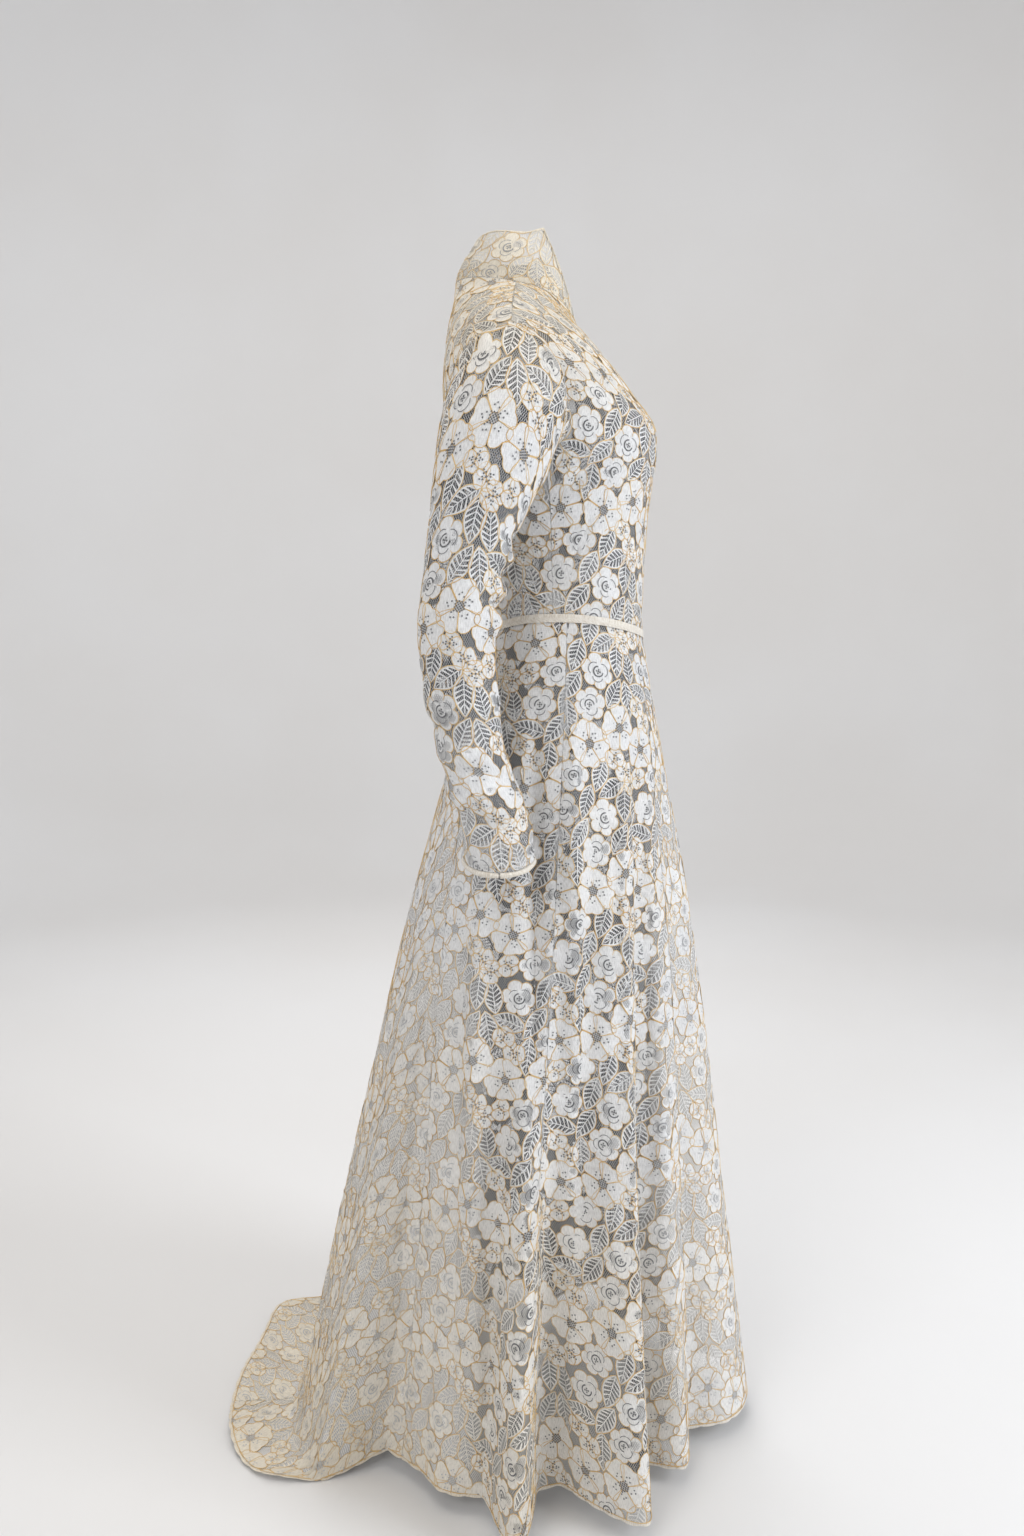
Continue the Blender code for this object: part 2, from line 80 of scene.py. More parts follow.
def rows_of(kind, *rows):
    """Rows of one kind."""
    return tuple(kind(*row) for row in rows)


# Outline of the bodice at each height: half width, reach in front of and behind the neck's axis,
# and how far in front of it the side line lies
Section = namedtuple("Section", "height half_width front back side")
BODICE_SECTIONS = rows_of(
    Section,
    (1.040, 0.122, 0.167, 0.034, 0.050),
    (1.100, 0.125, 0.168, 0.042, 0.048),
    (1.190, 0.137, 0.171, 0.060, 0.045),
    (1.250, 0.148, 0.174, 0.074, 0.036),
    (1.290, 0.157, 0.172, 0.081, 0.022),
    (1.330, 0.171, 0.152, 0.085, 0.008),
    (1.355, 0.180, 0.137, 0.086, 0.002),
    (1.375, 0.178, 0.123, 0.085, 0.000),
    (1.390, 0.170, 0.112, 0.084, 0.000),
    (1.411, 0.150, 0.096, 0.082, 0.000),
    (1.426, 0.131, 0.083, 0.080, 0.001),
    (1.440, 0.112, 0.078, 0.077, 0.002),
    (1.453, 0.092, 0.075, 0.074, 0.004),
    (1.465, 0.072, 0.072, 0.072, 0.005),
    (1.485, 0.067, 0.068, 0.070, 0.005),
)
FRONT_SQUARENESS = 2.3
BACK_SQUARENESS = 2.4
NECK_FRONT_SQUARENESS = 1.7
NECK_BACK_SQUARENESS = 2.0
NECK_SQUARENESS_FROM = 1.32

# Cups, shaped by darts
CUP_REACH = 0.014
CUP_ANGLE = 27.0
CUP_HALF_ANGLE = 19.0
CUP_HEIGHT = 1.284
CUP_HALF_HEIGHT_BELOW = 0.075
CUP_HALF_HEIGHT_ABOVE = 0.045

# Armhole: how far it reaches forward and back of the side line, in degrees
ARMHOLE_FORWARD = 16.0
ARMHOLE_BACK = 34.0

# Neckline: height at each angle from the centre front round to the centre back
NeckPoint = namedtuple("NeckPoint", "angle height")
NECKLINE = rows_of(
    NeckPoint,
    (0.0, 1.430),
    (20.0, 1.437),
    (45.0, 1.450),
    (70.0, 1.460),
    (90.0, 1.465),
    (135.0, 1.477),
    (180.0, 1.483),
)

# Collar's top edge, from its front point round to the centre back
CollarPoint = namedtuple("CollarPoint", "angle height")
COLLAR_TOP = rows_of(
    CollarPoint,
    (50.0, 1.535),
    (75.0, 1.527),
    (110.0, 1.528),
    (180.0, 1.519),
)
COLLAR_TOP_HALF_WIDTH = 0.062
COLLAR_TOP_FRONT = 0.060
COLLAR_TOP_BACK = 0.052
COLLAR_BELLY = 0.004
COLLAR_START = 1.5
COLLAR_ROLL = 0.0016

# Right sleeve, ring by ring from the shoulder: its outer and inner points, how far behind the neck's axis
# its middle lies, and half its depth from front to back
Ring = namedtuple("Ring", "outer outer_height inner inner_height behind half_depth")
SLEEVE_RINGS = rows_of(
    Ring,
    (0.195, 1.373, 0.1540, 1.245, 0.003, 0.064),
    (0.220, 1.347, 0.1575, 1.233, 0.008, 0.067),
    (0.240, 1.312, 0.1615, 1.216, 0.014, 0.066),
    (0.253, 1.270, 0.1655, 1.193, 0.022, 0.062),
    (0.260, 1.220, 0.1695, 1.163, 0.033, 0.055),
    (0.261, 1.165, 0.1730, 1.128, 0.045, 0.048),
    (0.260, 1.110, 0.1760, 1.090, 0.054, 0.045),
    (0.259, 1.057, 0.1780, 1.050, 0.0605, 0.0435),
    (0.258, 1.008, 0.1790, 1.008, 0.060, 0.042),
    (0.257, 0.960, 0.1800, 0.964, 0.056, 0.041),
    (0.255, 0.908, 0.1820, 0.918, 0.046, 0.037),
    (0.254, 0.858, 0.1850, 0.874, 0.030, 0.038),
    (0.255, 0.815, 0.1880, 0.836, 0.020, 0.039),
    (0.256, 0.778, 0.1900, 0.802, 0.015, 0.040),
)

# Skirt's hem, by the angle from the centre front round by the wearer's right: its reach from the neck's axis,
# and the height at which each fold or hollow starts
HemPoint = namedtuple("HemPoint", "angle reach start")
HEM = rows_of(
    HemPoint,
    (0.0, 0.326, 0.95),
    (8.0, 0.316, 0.90),
    (14.0, 0.296, 0.90),
    (22.0, 0.244, 0.90),
    (36.0, 0.270, 0.98),
    (46.0, 0.203, 0.98),
    (58.0, 0.301, 0.99),
    (73.0, 0.199, 0.86),
    (80.0, 0.206, 0.82),
    (89.0, 0.291, 0.78),
    (100.0, 0.210, 0.78),
    (110.0, 0.222, 0.80),
    (126.0, 0.201, 0.84),
    (141.0, 0.204, 0.80),
    (149.0, 0.296, 0.80),
    (156.0, 0.348, 0.80),
    (167.0, 0.376, 0.80),
    (180.0, 0.388, 0.80),
    (192.0, 0.395, 0.80),
    (204.0, 0.414, 0.80),
    (213.0, 0.436, 0.80),
    (221.0, 0.400, 0.80),
    (229.0, 0.292, 0.80),
    (238.0, 0.216, 0.80),
    (249.0, 0.232, 0.82),
    (260.0, 0.208, 0.80),
    (271.0, 0.284, 0.79),
    (282.0, 0.207, 0.86),
    (298.0, 0.294, 0.97),
    (311.0, 0.212, 0.95),
    (325.0, 0.280, 0.97),
    (337.0, 0.240, 0.92),
    (347.0, 0.302, 0.90),
    (360.0, 0.326, 0.95),
)

# Plain skirt without its folds: reach at the hem by angle
PlainPoint = namedtuple("PlainPoint", "angle reach")
PLAIN_HEM = rows_of(
    PlainPoint,
    (0.0, 0.316),
    (45.0, 0.262),
    (90.0, 0.246),
    (135.0, 0.250),
    (180.0, 0.275),
    (225.0, 0.252),
    (270.0, 0.246),
    (315.0, 0.260),
    (360.0, 0.316),
)

# Skirt's spread from the waist ring to the plain hem, by the share of its height
SpreadPoint = namedtuple("SpreadPoint", "down spread")
SPREAD = rows_of(
    SpreadPoint,
    (0.0, 0.0),
    (0.09, 0.115),
    (0.20, 0.250),
    (0.34, 0.415),
    (0.55, 0.615),
    (0.80, 0.835),
    (1.0, 1.0),
)
FOLD_GROWTH = 1.25

# Train: where it starts and ends, how far out it meets the floor, and the ripples of the part that lies there
TRAIN_FROM = 141.0
TRAIN_TO = 236.0
TRAIN_EDGE = 8.0
FLOOR_REACH = 0.292
FLOOR_BEND = 0.022
LAID_FOR_FULL_BEND = 0.05
HEM_LIFT = 0.003
RIPPLE_HEIGHT = 0.006
RIPPLES = 9

# Fullness over the hips
HIP_REACH = 0.016
HIP_DOWN = 0.20

# Gores, by the angles of their seams
Gore = namedtuple("Gore", "name start end")
GORES = rows_of(
    Gore,
    ("side_front_right", 29.0, 84.0),
    ("side_back_right", 84.0, 134.0),
    ("back_right", 134.0, 180.0),
    ("back_left", 180.0, 240.0),
    ("side_back_left", 240.0, 276.5),
    ("side_front_left", 276.5, 331.0),
    ("front", 331.0, 389.0),
)

# Soft creases of the skirt between its main folds: angle at the waist, how far down each starts and fades,
# half width in degrees, height, negative for a trough, and how far round it leans by the hem
Crease = namedtuple("Crease", "angle start end half_angle height lean", defaults=(0.0,))
CREASES = rows_of(
    Crease,
    (4.0, 0.10, 0.62, 2.4, 0.0022),
    (17.0, 0.04, 0.50, 1.9, -0.0018),
    (29.0, 0.22, 0.95, 2.2, 0.0030),
    (41.0, 0.06, 0.70, 1.7, -0.0026),
    (52.0, 0.02, 0.55, 2.0, 0.0028),
    (61.0, 0.03, 0.80, 2.8, -0.0046, -2.0),
    (81.5, 0.02, 0.97, 3.8, 0.0062, -13.5),
    (80.0, 0.50, 1.00, 3.8, -0.0056),
    (81.5, 0.20, 0.50, 3.8, 0.0030, -13.5),
    (97.0, 0.04, 0.66, 4.2, -0.0068, -17.0),
    (97.0, 0.20, 0.50, 4.0, -0.0034, -17.0),
    (121.5, 0.22, 1.00, 3.6, 0.0058, -21.0),
    (131.0, 0.30, 1.00, 3.4, -0.0046, -21.0),
    (133.0, 0.46, 1.00, 2.4, -0.0028),
    (144.0, 0.30, 0.92, 2.0, 0.0030),
    (161.0, 0.18, 0.80, 2.8, -0.0024),
    (172.0, 0.40, 0.95, 2.2, 0.0026),
    (188.0, 0.22, 0.86, 2.6, 0.0024),
    (199.0, 0.36, 0.94, 2.2, -0.0028),
    (217.0, 0.16, 0.82, 2.4, 0.0026),
    (226.0, 0.44, 0.98, 1.9, -0.0026),
    (243.0, 0.20, 0.90, 2.4, 0.0030),
    (254.0, 0.42, 1.00, 2.8, -0.0044),
    (264.0, 0.36, 0.98, 3.0, 0.0048),
    (279.0, 0.08, 1.00, 4.0, -0.0058),
    (290.5, 0.04, 0.92, 3.3, 0.0050),
    (299.5, 0.06, 0.80, 2.2, -0.0040),
    (308.0, 0.03, 0.60, 2.0, 0.0026),
    (318.0, 0.18, 0.92, 2.0, -0.0024),
    (331.0, 0.06, 0.60, 2.2, 0.0026),
    (342.0, 0.26, 0.96, 1.9, 0.0026),
    (353.0, 0.05, 0.58, 2.0, -0.0020),
)

# What the creases' heights are multiplied by, and the shares of the way down over which each grows and fades
CREASE_SCALE = 1.5
CREASE_START_RUN = 0.22
CREASE_END_RUN = 0.24

# Wrinkles of a sleeve: distance down from its head, place round it in degrees from its top by the back,
# half lengths along and round, slant in metres a degree and height, negative for a trough
Wrinkle = namedtuple("Wrinkle", "down turn half_down half_turn slant height")
SLEEVE_WRINKLES = rows_of(
    Wrinkle,
    (0.018, 22.0, 0.006, 36.0, 0.00012, -0.0034),
    (0.031, 24.0, 0.006, 38.0, 0.00012, 0.0036),
    (0.044, 30.0, 0.006, 34.0, 0.00012, -0.0024),
    (0.050, 300.0, 0.008, 26.0, -0.00016, -0.0026),
    (0.066, 296.0, 0.009, 28.0, -0.00016, 0.0020),
    (0.086, 160.0, 0.010, 34.0, 0.00014, -0.0026),
    (0.118, 215.0, 0.012, 40.0, 0.00012, 0.0022),
    (0.205, 262.0, 0.008, 34.0, 0.00012, -0.0024),
    (0.232, 275.0, 0.007, 42.0, -0.00008, 0.0026),
    (0.250, 282.0, 0.006, 46.0, 0.00006, -0.0034),
    (0.268, 270.0, 0.007, 44.0, 0.00010, 0.0030),
    (0.285, 284.0, 0.006, 42.0, -0.00010, -0.0032),
    (0.302, 268.0, 0.008, 40.0, -0.00006, 0.0026),
    (0.330, 300.0, 0.009, 36.0, 0.00014, -0.0022),
    (0.372, 40.0, 0.010, 46.0, -0.00012, -0.0024),
    (0.396, 330.0, 0.009, 52.0, 0.00012, 0.0026),
    (0.420, 60.0, 0.009, 50.0, -0.00010, -0.0030),
    (0.444, 20.0, 0.010, 60.0, 0.00010, 0.0030),
    (0.470, 330.0, 0.009, 56.0, -0.00012, -0.0032),
    (0.494, 70.0, 0.010, 56.0, 0.00010, 0.0028),
    (0.520, 10.0, 0.009, 60.0, -0.00008, -0.0030),
    (0.544, 310.0, 0.009, 50.0, 0.00012, 0.0026),
    (0.560, 130.0, 0.010, 50.0, 0.00010, -0.0022),
)

# What the wrinkles' heights are multiplied by, and the lengths over which they calm at the two ends
WRINKLE_SCALE = 2.1
SLEEVE_HEAD_CALM = 0.012
CUFF_CALM = 0.015

# Drag lines of the bodice: angle and height of the middle, angle and height of the half length,
# half width across and height of the crease, negative for a trough
DragLine = namedtuple("DragLine", "angle height run rise half_width lift")
BODICE_DRAGS = rows_of(
    DragLine,
    (70.0, 1.238, 12.0, -0.022, 0.0070, -0.0026),
    (66.0, 1.222, 13.0, -0.016, 0.0070, 0.0022),
    (76.0, 1.150, 8.0, -0.040, 0.0080, -0.0018),
    (48.0, 1.100, 10.0, -0.026, 0.0080, 0.0016),
    (112.0, 1.210, 12.0, 0.030, 0.0080, -0.0024),
    (122.0, 1.150, 12.0, 0.022, 0.0090, 0.0022),
    (138.0, 1.100, 16.0, 0.010, 0.0080, -0.0022),
    (150.0, 1.300, 12.0, 0.030, 0.0100, -0.0018),
    (100.0, 1.090, 10.0, 0.012, 0.0070, 0.0018),
)

# What the drag lines' heights are multiplied by, and how many degrees round the body go to a metre
DRAG_SCALE = 1.4
DEGREES_A_METRE = 400.0

# The lace's repeat, in millimetres across and down: each motif's kind, place, turn in degrees and size
REPEAT_WIDTH = 138.0
REPEAT_LENGTH = 174.0
Motif = namedtuple("Motif", "kind across down turn size")
REPEAT = rows_of(
    Motif,
    ("flower", 123.1, 102.4, 125, 1.00),
    ("flower", 28.5, 123.1, 161, 1.03),
    ("flower", 81.6, 126.0, 24, 0.98),
    ("rose", 25.8, 76.9, 167, 1.00),
    ("rose", 11.3, 36.6, 248, 1.04),
    ("rose", 69.9, 26.6, 263, 1.02),
    ("rose", 53.2, 161.1, 151, 0.98),
    ("cluster", 95.6, 166.7, 164, 1.04),
    ("cluster", 79.0, 83.1, 270, 1.06),
    ("cluster", 124.6, 146.8, 276, 1.02),
    ("leaf", 37.2, 18.3, 338, 1.04),
    ("leaf", 54.7, 93.1, 358, 1.06),
    ("leaf", 120.5, 19.2, 356, 1.06),
    ("leaf", 16.4, 159.5, 341, 1.00),
    ("leaf", 106.1, 66.5, 12, 1.08),
    ("leaf", 128.3, 61.3, 150, 1.00),
    ("leaf", 81.0, 55.5, 254, 1.02),
    ("leaf", 48.2, 55.2, 323, 1.04),
    ("leaf", 101.4, 25.8, 190, 1.00),
    ("leaf", 0.6, 1.5, 301, 1.00),
)

# How large motifs are against their sizes there, how far from a panel's edges their middles may still lie,
# and how high each kind lies where motifs overlap, all but the first in millimetres
MOTIF_SHARE = 0.95
MOTIF_REACH = 32.0
MOTIF_LIFTS = {"leaf": 0.0, "cluster": 0.10, "rose": 0.22, "flower": 0.34}

# Millimetres in a metre
MILLIMETRES = 1000

# Trimming at a panel's edges: how far inside them motifs end, and what counts as moved and as a flat triangle
EDGE_INSET = 0.0002
SMALLEST_MOVE = 1e-7
SMALLEST_TURN = 1e-9

# Hem edging, a strip with a scalloped edge, and the thread of piping along it
EDGING_HALF_WIDTH = 0.0017
EDGING_LIFT = 0.0008
SCALLOP_DEPTH = 0.0016
SCALLOP_PITCH = 0.024
PIPING_RADIUS = 0.0006
PIPING_ABOVE_HEM = 0.0016
PIPING_LIFT = 0.0009
PIPING_CLEARANCE = 0.0002

# Each part's lace: how much creamier it is, the width of its turned-in seams against the setting's,
# the rows of its net's sheet, and the rows of the fine grid that its motifs are laid on
Lace = namedtuple("Lace", "cream_share seam rows fine_rows")
LACES = {
    "bodice": Lace(0.0, 1.5, 62, 190),
    "collar": Lace(0.60, 0.5, 14, 40),
    "sleeve": Lace(0.0, 1.0, 124, 260),
    "skirt": Lace(0.0, 0.7, 104, 420),
}

# Width of a column of the skirt's net along its hem
NET_COLUMN = 0.0062

# Turned-in seams: how far behind the cloth they lie, and how ragged their cut edge is
SEAM_BEHIND = 0.0009
SEAM_RAGGED = 0.0004

# Finish of each material: depth and strength of its relief, roughness and sheen
Finish = namedtuple("Finish", "depth strength roughness sheen")
NET_FINISH = Finish(0.0004, 0.6, 0.8, 0.1)
CLOTHWORK_FINISH = Finish(0.00035, 0.7, 0.72, 0.15)
OUTLINE_FINISH = Finish(0.0003, 0.8, 0.6, 0.0)
OPENWORK_FINISH = Finish(0.0003, 0.6, 0.85, 0.0)
PAPER_FINISH = Finish(0.0002, 0.3, 0.7, 0.0)
SPECULAR = 0.3

# Woven cloths: how much creamier each is, and its finish
WOVEN = {
    "cream_band": (0.45, Finish(0.0003, 0.7, 0.65, 0.2)),
    "hem_edging": (0.25, Finish(0.0003, 0.7, 0.7, 0.2)),
    "cream_binding": (0.5, Finish(0.0003, 0.7, 0.55, 0.2)),
}

# Threads: slope and soft edge of the net's, wander of the clothwork's, and spacings against the setting's
NET_SLOPE = 0.62
NET_SOFTNESS = 0.04
# How full the net stands where no painted shade is laid
PALE_NET_FULLNESS = 0.45
THREAD_WANDER = 0.0022
TIE_SPACING = 2.1
OPENWORK_SPACING = 1.3
RIB_SPACING = 0.8
STREAKS = (900.0, 170.0, 1.0)
CLOTHWORK_SHADE = (0.66, 0.65, 0.64)
WOVEN_SHADE = (0.66, 0.59, 0.50)

# Where the ivory has yellowed, and where painted shade darkens the lace's net, openings and inner face (a
# band through the gown's middle in depth and its upper part, less at the collar), as ranges of height or of
# depth in the frame's axes, some with the shares at their two ends
WARM_SHOULDERS = (-0.17, 0.03)
WARM_HEM = (-0.60, -1.40)
WARM_BACK = (-0.20, 0.36, 0.25, 1.05)
MIDDLE_BEHIND = 0.068
PAINTED_SHADE_DEPTH = (0.145, 0.085)
PAINTED_SHADE_HEIGHT = (-0.62, -0.44)
CLEAR_COLLAR = (0.0, -0.07, 0.42, 1.0)

# Stage: round floor, the bend of the sweep and the wall above it, air, and the photo's camera
FLOOR_RADIUS = 3.4
FLOOR_INSET = 0.9
SWEEP_BEND = 1.6
SWEEP_STEPS = 10
WALL_HEIGHT = 6.4
AIR_COLOUR = (0.93, 0.95, 1.0, 1.0)
AIR_STRENGTH = 0.42
SENSOR_WIDTH = 36.0
LENS = 26.95
CAMERA_PLACE = (-1.51, 0.0, -0.41)
CAMERA_TILT = 0.10

# Soft lights: where each stands and aims, its width, height and watts, and its colour
Lamp = namedtuple("Lamp", "name place aim width height watts colour")
LAMPS = rows_of(
    Lamp,
    ("front_window", (-1.2, -2.8, 0.3), (0.0, 0.0, -0.8), 1.2, 2.4, 70.0, (0.92, 0.955, 1.0)),
    ("side_softbox", (-2.5, 1.5, 0.9), (0.0, 0.1, -0.7), 1.6, 1.6, 30.0, (0.97, 0.98, 1.0)),
    ("overhead", (-0.3, 0.5, 2.2), (0.0, 0.0, -0.6), 2.0, 2.0, 30.0, (1.0, 0.96, 0.89)),
    ("far_side_fill", (2.3, 0.3, 1.2), (0.0, 0.0, -0.7), 1.8, 1.8, 16.0, (0.98, 0.98, 1.0)),
    ("backdrop_wash", (1.2, 0.0, 2.5), (5.0, 0.0, 0.2), 3.0, 1.5, 40.0, (1.0, 0.98, 0.96)),
)

# Steps over which a surface's direction is measured, in degrees and in metres or shares
ANGLE_STEP = 0.05
SMALL_STEP = 0.0005

# What turns a point of the wearer's right side into one of the left
FLIP = np.array([-1.0, 1.0, 1.0])

# A piece of cloth as a fine grid: its points, outward directions and where each point lies on the flat cloth
Panel = namedtuple("Panel", "points outward across down")


def read(table, name, at):
    """A smooth curve through one column of a table, level at each crest and hollow."""
    xs = np.array([row[0] for row in table])
    ys = np.array([getattr(row, name) for row in table])
    step = np.diff(xs)
    rise = np.diff(ys) / step
    slope = np.zeros(len(xs))
    slope[0] = rise[0]
    slope[-1] = rise[-1]
    same_way = rise[1:] * rise[:-1] > 0
    before = 2 * step[1:] + step[:-1]
    after = step[1:] + 2 * step[:-1]
    with np.errstate(divide="ignore", invalid="ignore"):
        mean = (before + after) / (before / rise[:-1] + after / rise[1:])
    slope[1:-1] = np.where(same_way, mean, 0.0)
    at = np.clip(np.asarray(at, float), xs[0], xs[-1])
    i = np.clip(np.searchsorted(xs, at, side="right") - 1, 0, len(xs) - 2)
    t = (at - xs[i]) / step[i]
    return (
        ys[i] * (1 + 2 * t) * (1 - t) ** 2
        + slope[i] * step[i] * t * (1 - t) ** 2
        + ys[i + 1] * t * t * (3 - 2 * t)
        + slope[i + 1] * step[i] * t * t * (t - 1)
    )


def read_round(table, name, angle):
    """The same, for a table that closes on itself at 360 degrees."""
    turned = [row._replace(angle=row.angle - 360.0) for row in table[:-1]]
    return read(tuple(turned[-3:]) + tuple(table), name, np.mod(angle, 360.0))


def place(right, forward, height):
    """A point from how far it is to the wearer's right, in front of the neck's axis and above the hem."""
    right, forward, height = np.broadcast_arrays(right, forward, height)
    return np.stack([-right, -forward, height - HOLD_HEIGHT], axis=-1)


def ease(value):
    """A smooth step from nothing at 0 to one at 1."""
    value = np.clip(value, 0.0, 1.0)
    return value * value * (3 - 2 * value)


def power(value, exponent):
    """A power that keeps the value's sign."""
    return np.sign(value) * np.abs(value) ** exponent


def either_way(angle):
    """An angle brought between -180 and 180 degrees."""
    return np.mod(angle + 180.0, 360.0) - 180.0


def waist_height(angle):
    """The waist seam dips a little at the front and rises at the sides."""
    return WAIST_HEIGHT - WAIST_DIP * np.cos(2 * np.radians(angle))


def cups(angle, height):
    """How far the two cups stand out, by angle in degrees from the centre front and by height."""
    off = np.abs(either_way(angle)) - CUP_ANGLE
    tall = np.where(height > CUP_HEIGHT, CUP_HALF_HEIGHT_ABOVE, CUP_HALF_HEIGHT_BELOW)
    return CUP_REACH * np.exp(-((off / CUP_HALF_ANGLE) ** 2) - ((height - CUP_HEIGHT) / tall) ** 2)


def bodice_surface(angle, height):
    """Points on the bodice's outer face, by angle round by the wearer's right and by height."""
    angle, height = np.broadcast_arrays(np.asarray(angle, float), np.asarray(height, float))
    turn = np.radians(angle)
    ahead = np.cos(turn)
    side = read(BODICE_SECTIONS, "side", height)
    front = read(BODICE_SECTIONS, "front", height) - side
    back = read(BODICE_SECTIONS, "back", height) + side
    body = np.where(ahead > 0, FRONT_SQUARENESS, BACK_SQUARENESS)
    neck = np.where(ahead > 0, NECK_FRONT_SQUARENESS, NECK_BACK_SQUARENESS)
    rise = (height - NECK_SQUARENESS_FROM) / (NECKLINE[0].height - NECK_SQUARENESS_FROM)
    squareness = body + (neck - body) * ease(rise)
    right = read(BODICE_SECTIONS, "half_width", height) * power(np.sin(turn), 2 / squareness)
    forward = side + np.where(ahead > 0, front, back) * power(ahead, 2 / squareness)
    return place(right, forward + cups(angle, height), height)


def armhole(turn):
    """Angle and height along the armhole, from its top at 0 by the back at 90 degrees and down to 180."""
    turn = np.asarray(turn, float)
    across = np.sin(np.radians(turn))
    middle = (SHOULDER_TIP_HEIGHT + UNDERARM_HEIGHT) / 2
    half = (SHOULDER_TIP_HEIGHT - UNDERARM_HEIGHT) / 2
    angle = 90.0 + np.where(across > 0, ARMHOLE_BACK, ARMHOLE_FORWARD) * across
    return angle, middle + half * np.cos(np.radians(turn))


def collar_surface(angle, up):
    """Points on the collar, by angle along the neckline and by the share of the way up to its top edge."""
    angle, up = np.broadcast_arrays(np.asarray(angle, float), np.asarray(up, float))
    base = bodice_surface(angle, read(NECKLINE, "height", 180.0 - np.abs(180.0 - angle)))
    base[..., 2] += SET_IN_GAP
    top_angle = COLLAR_TOP[0].angle + (180.0 - COLLAR_TOP[0].angle) * angle / 180.0
    turn = np.radians(top_angle)
    top = place(
        COLLAR_TOP_HALF_WIDTH * np.sin(turn),
        np.where(np.cos(turn) > 0, COLLAR_TOP_FRONT, COLLAR_TOP_BACK) * np.cos(turn),
        read(COLLAR_TOP, "height", 180.0 - np.abs(180.0 - top_angle)),
    )
    points = base + (top - base) * up[..., None]
    away = points[..., :2] / np.linalg.norm(points[..., :2], axis=-1, keepdims=True)
    points[..., :2] += away * (COLLAR_BELLY * np.sin(pi * up))[..., None]
    return points


def train_share(angle):
    """One where the hem lies on the floor behind, none where it hangs level round the front and sides."""
    return ease((angle - TRAIN_FROM) / TRAIN_EDGE) * ease((TRAIN_TO - angle) / TRAIN_EDGE)


def skirt_surface(angle, down):
    """Points on the skirt's outer face, by angle and by the share of the way down from waist to hem."""
    angle, down = np.broadcast_arrays(np.asarray(angle, float), np.asarray(down, float))
    angle = np.mod(angle, 360.0)
    turn = np.radians(angle)
    top = waist_height(angle)
    waist = bodice_surface(angle, top)
    hem = read_round(HEM, "reach", angle)
    plain = read_round(PLAIN_HEM, "reach", angle)
    start = read_round(HEM, "start", angle)
    train = train_share(angle)
    laid = np.maximum(hem - FLOOR_REACH, 0.0) * train
    standing = hem - laid
    end_height = HEM_LIFT + train * (CLOTH + SEAM_GAP - HEM_ABOVE_FLOOR - HEM_LIFT)
    drop = top - end_height
    bend = FLOOR_BEND * np.minimum(laid / LAID_FOR_FULL_BEND, 1.0)
    left = drop - down * (drop + laid)
    above = (left + np.sqrt(left * left + bend * bend)) / 2
    beyond = (np.sqrt(left * left + bend * bend) - left) / 2
    height = end_height + above
    share = np.clip((top - height) / drop, 0.0, 1.0)
    spread = read(SPREAD, "spread", share)
    folded = np.clip((start - height) / (start - end_height), 0.0, 1.0) ** FOLD_GROWTH
    straight = waist[..., :2] * (1 - spread[..., None])
    away = np.stack([-np.sin(turn), -np.cos(turn)], axis=-1)
    hip = HIP_REACH * np.sin(turn) ** 2 * (share / HIP_DOWN) * np.exp(1.0 - share / HIP_DOWN)
    out = plain * spread + (standing - plain) * folded + hip * (1.0 - share) + beyond
    ripple = RIPPLE_HEIGHT * np.sin(RIPPLES * turn) ** 2 * np.clip(beyond / LAID_FOR_FULL_BEND, 0.0, 1.0)
    flat = straight + away * out[..., None]
    return np.concatenate([flat, (height + ripple - HOLD_HEIGHT)[..., None]], axis=-1)


def outward_of(points):
    """Outward directions of a grid whose columns run round by the wearer's right and whose rows run down."""
    along = np.gradient(points, axis=1)
    down = np.gradient(points, axis=0)
    normal = np.cross(along, down)
    return normal / np.maximum(np.linalg.norm(normal, axis=-1, keepdims=True), 1e-12)


def run_of(points):
    """How far along a path each of its points lies, or how far down each row of a grid."""
    step = np.linalg.norm(np.diff(points, axis=0), axis=-1)
    if step.ndim > 1:
        step = step.mean(axis=1)
    return np.concatenate([[0.0], np.cumsum(step)])


def lay_flat(points, centre):
    """Where each point lies on the flat cloth: across from a centre column along its row, and down."""
    along = np.linalg.norm(np.diff(points, axis=1), axis=-1)
    across = np.concatenate([np.zeros((len(points), 1)), np.cumsum(along, axis=1)], axis=1)
    across -= across[:, centre][:, None]
    return across, run_of(points)


def panel_of(points, lift, centre):
    """A panel from its smooth points and the height of its creases."""
    raised = points + outward_of(points) * lift[..., None]
    across, down = lay_flat(raised, centre)
    return Panel(raised, outward_of(raised), across, down)


def mirrored(panel):
    """The same panel for the wearer's left side."""
    points, outward = panel.points[:, ::-1] * FLIP, panel.outward[:, ::-1] * FLIP
    return Panel(points, outward, -panel.across[:, ::-1], panel.down)


def joined(left, right):
    """Two halves as one panel, where the last column of one is the first of the other."""
    return Panel(
        np.concatenate([left.points, right.points[:, 1:]], axis=1),
        np.concatenate([left.outward, right.outward[:, 1:]], axis=1),
        np.concatenate([left.across, right.across[:, 1:]], axis=1),
        right.down,
    )


def drag_lift(angle, height):
    """Height of the bodice's drag lines at each point."""
    lift = np.zeros(np.broadcast(angle, height).shape)
    for line in BODICE_DRAGS:
        along = (angle - line.angle) * line.run / DEGREES_A_METRE + (height - line.height) * line.rise
        along = along / (line.run**2 / DEGREES_A_METRE + line.rise**2)
        off_angle = angle - line.angle - along * line.run
        off_height = height - line.height - along * line.rise
        off = np.sqrt((off_angle / DEGREES_A_METRE) ** 2 + off_height**2)
        lift += DRAG_SCALE * line.lift * np.exp(-((off / line.half_width) ** 2) - along**4)
    return lift


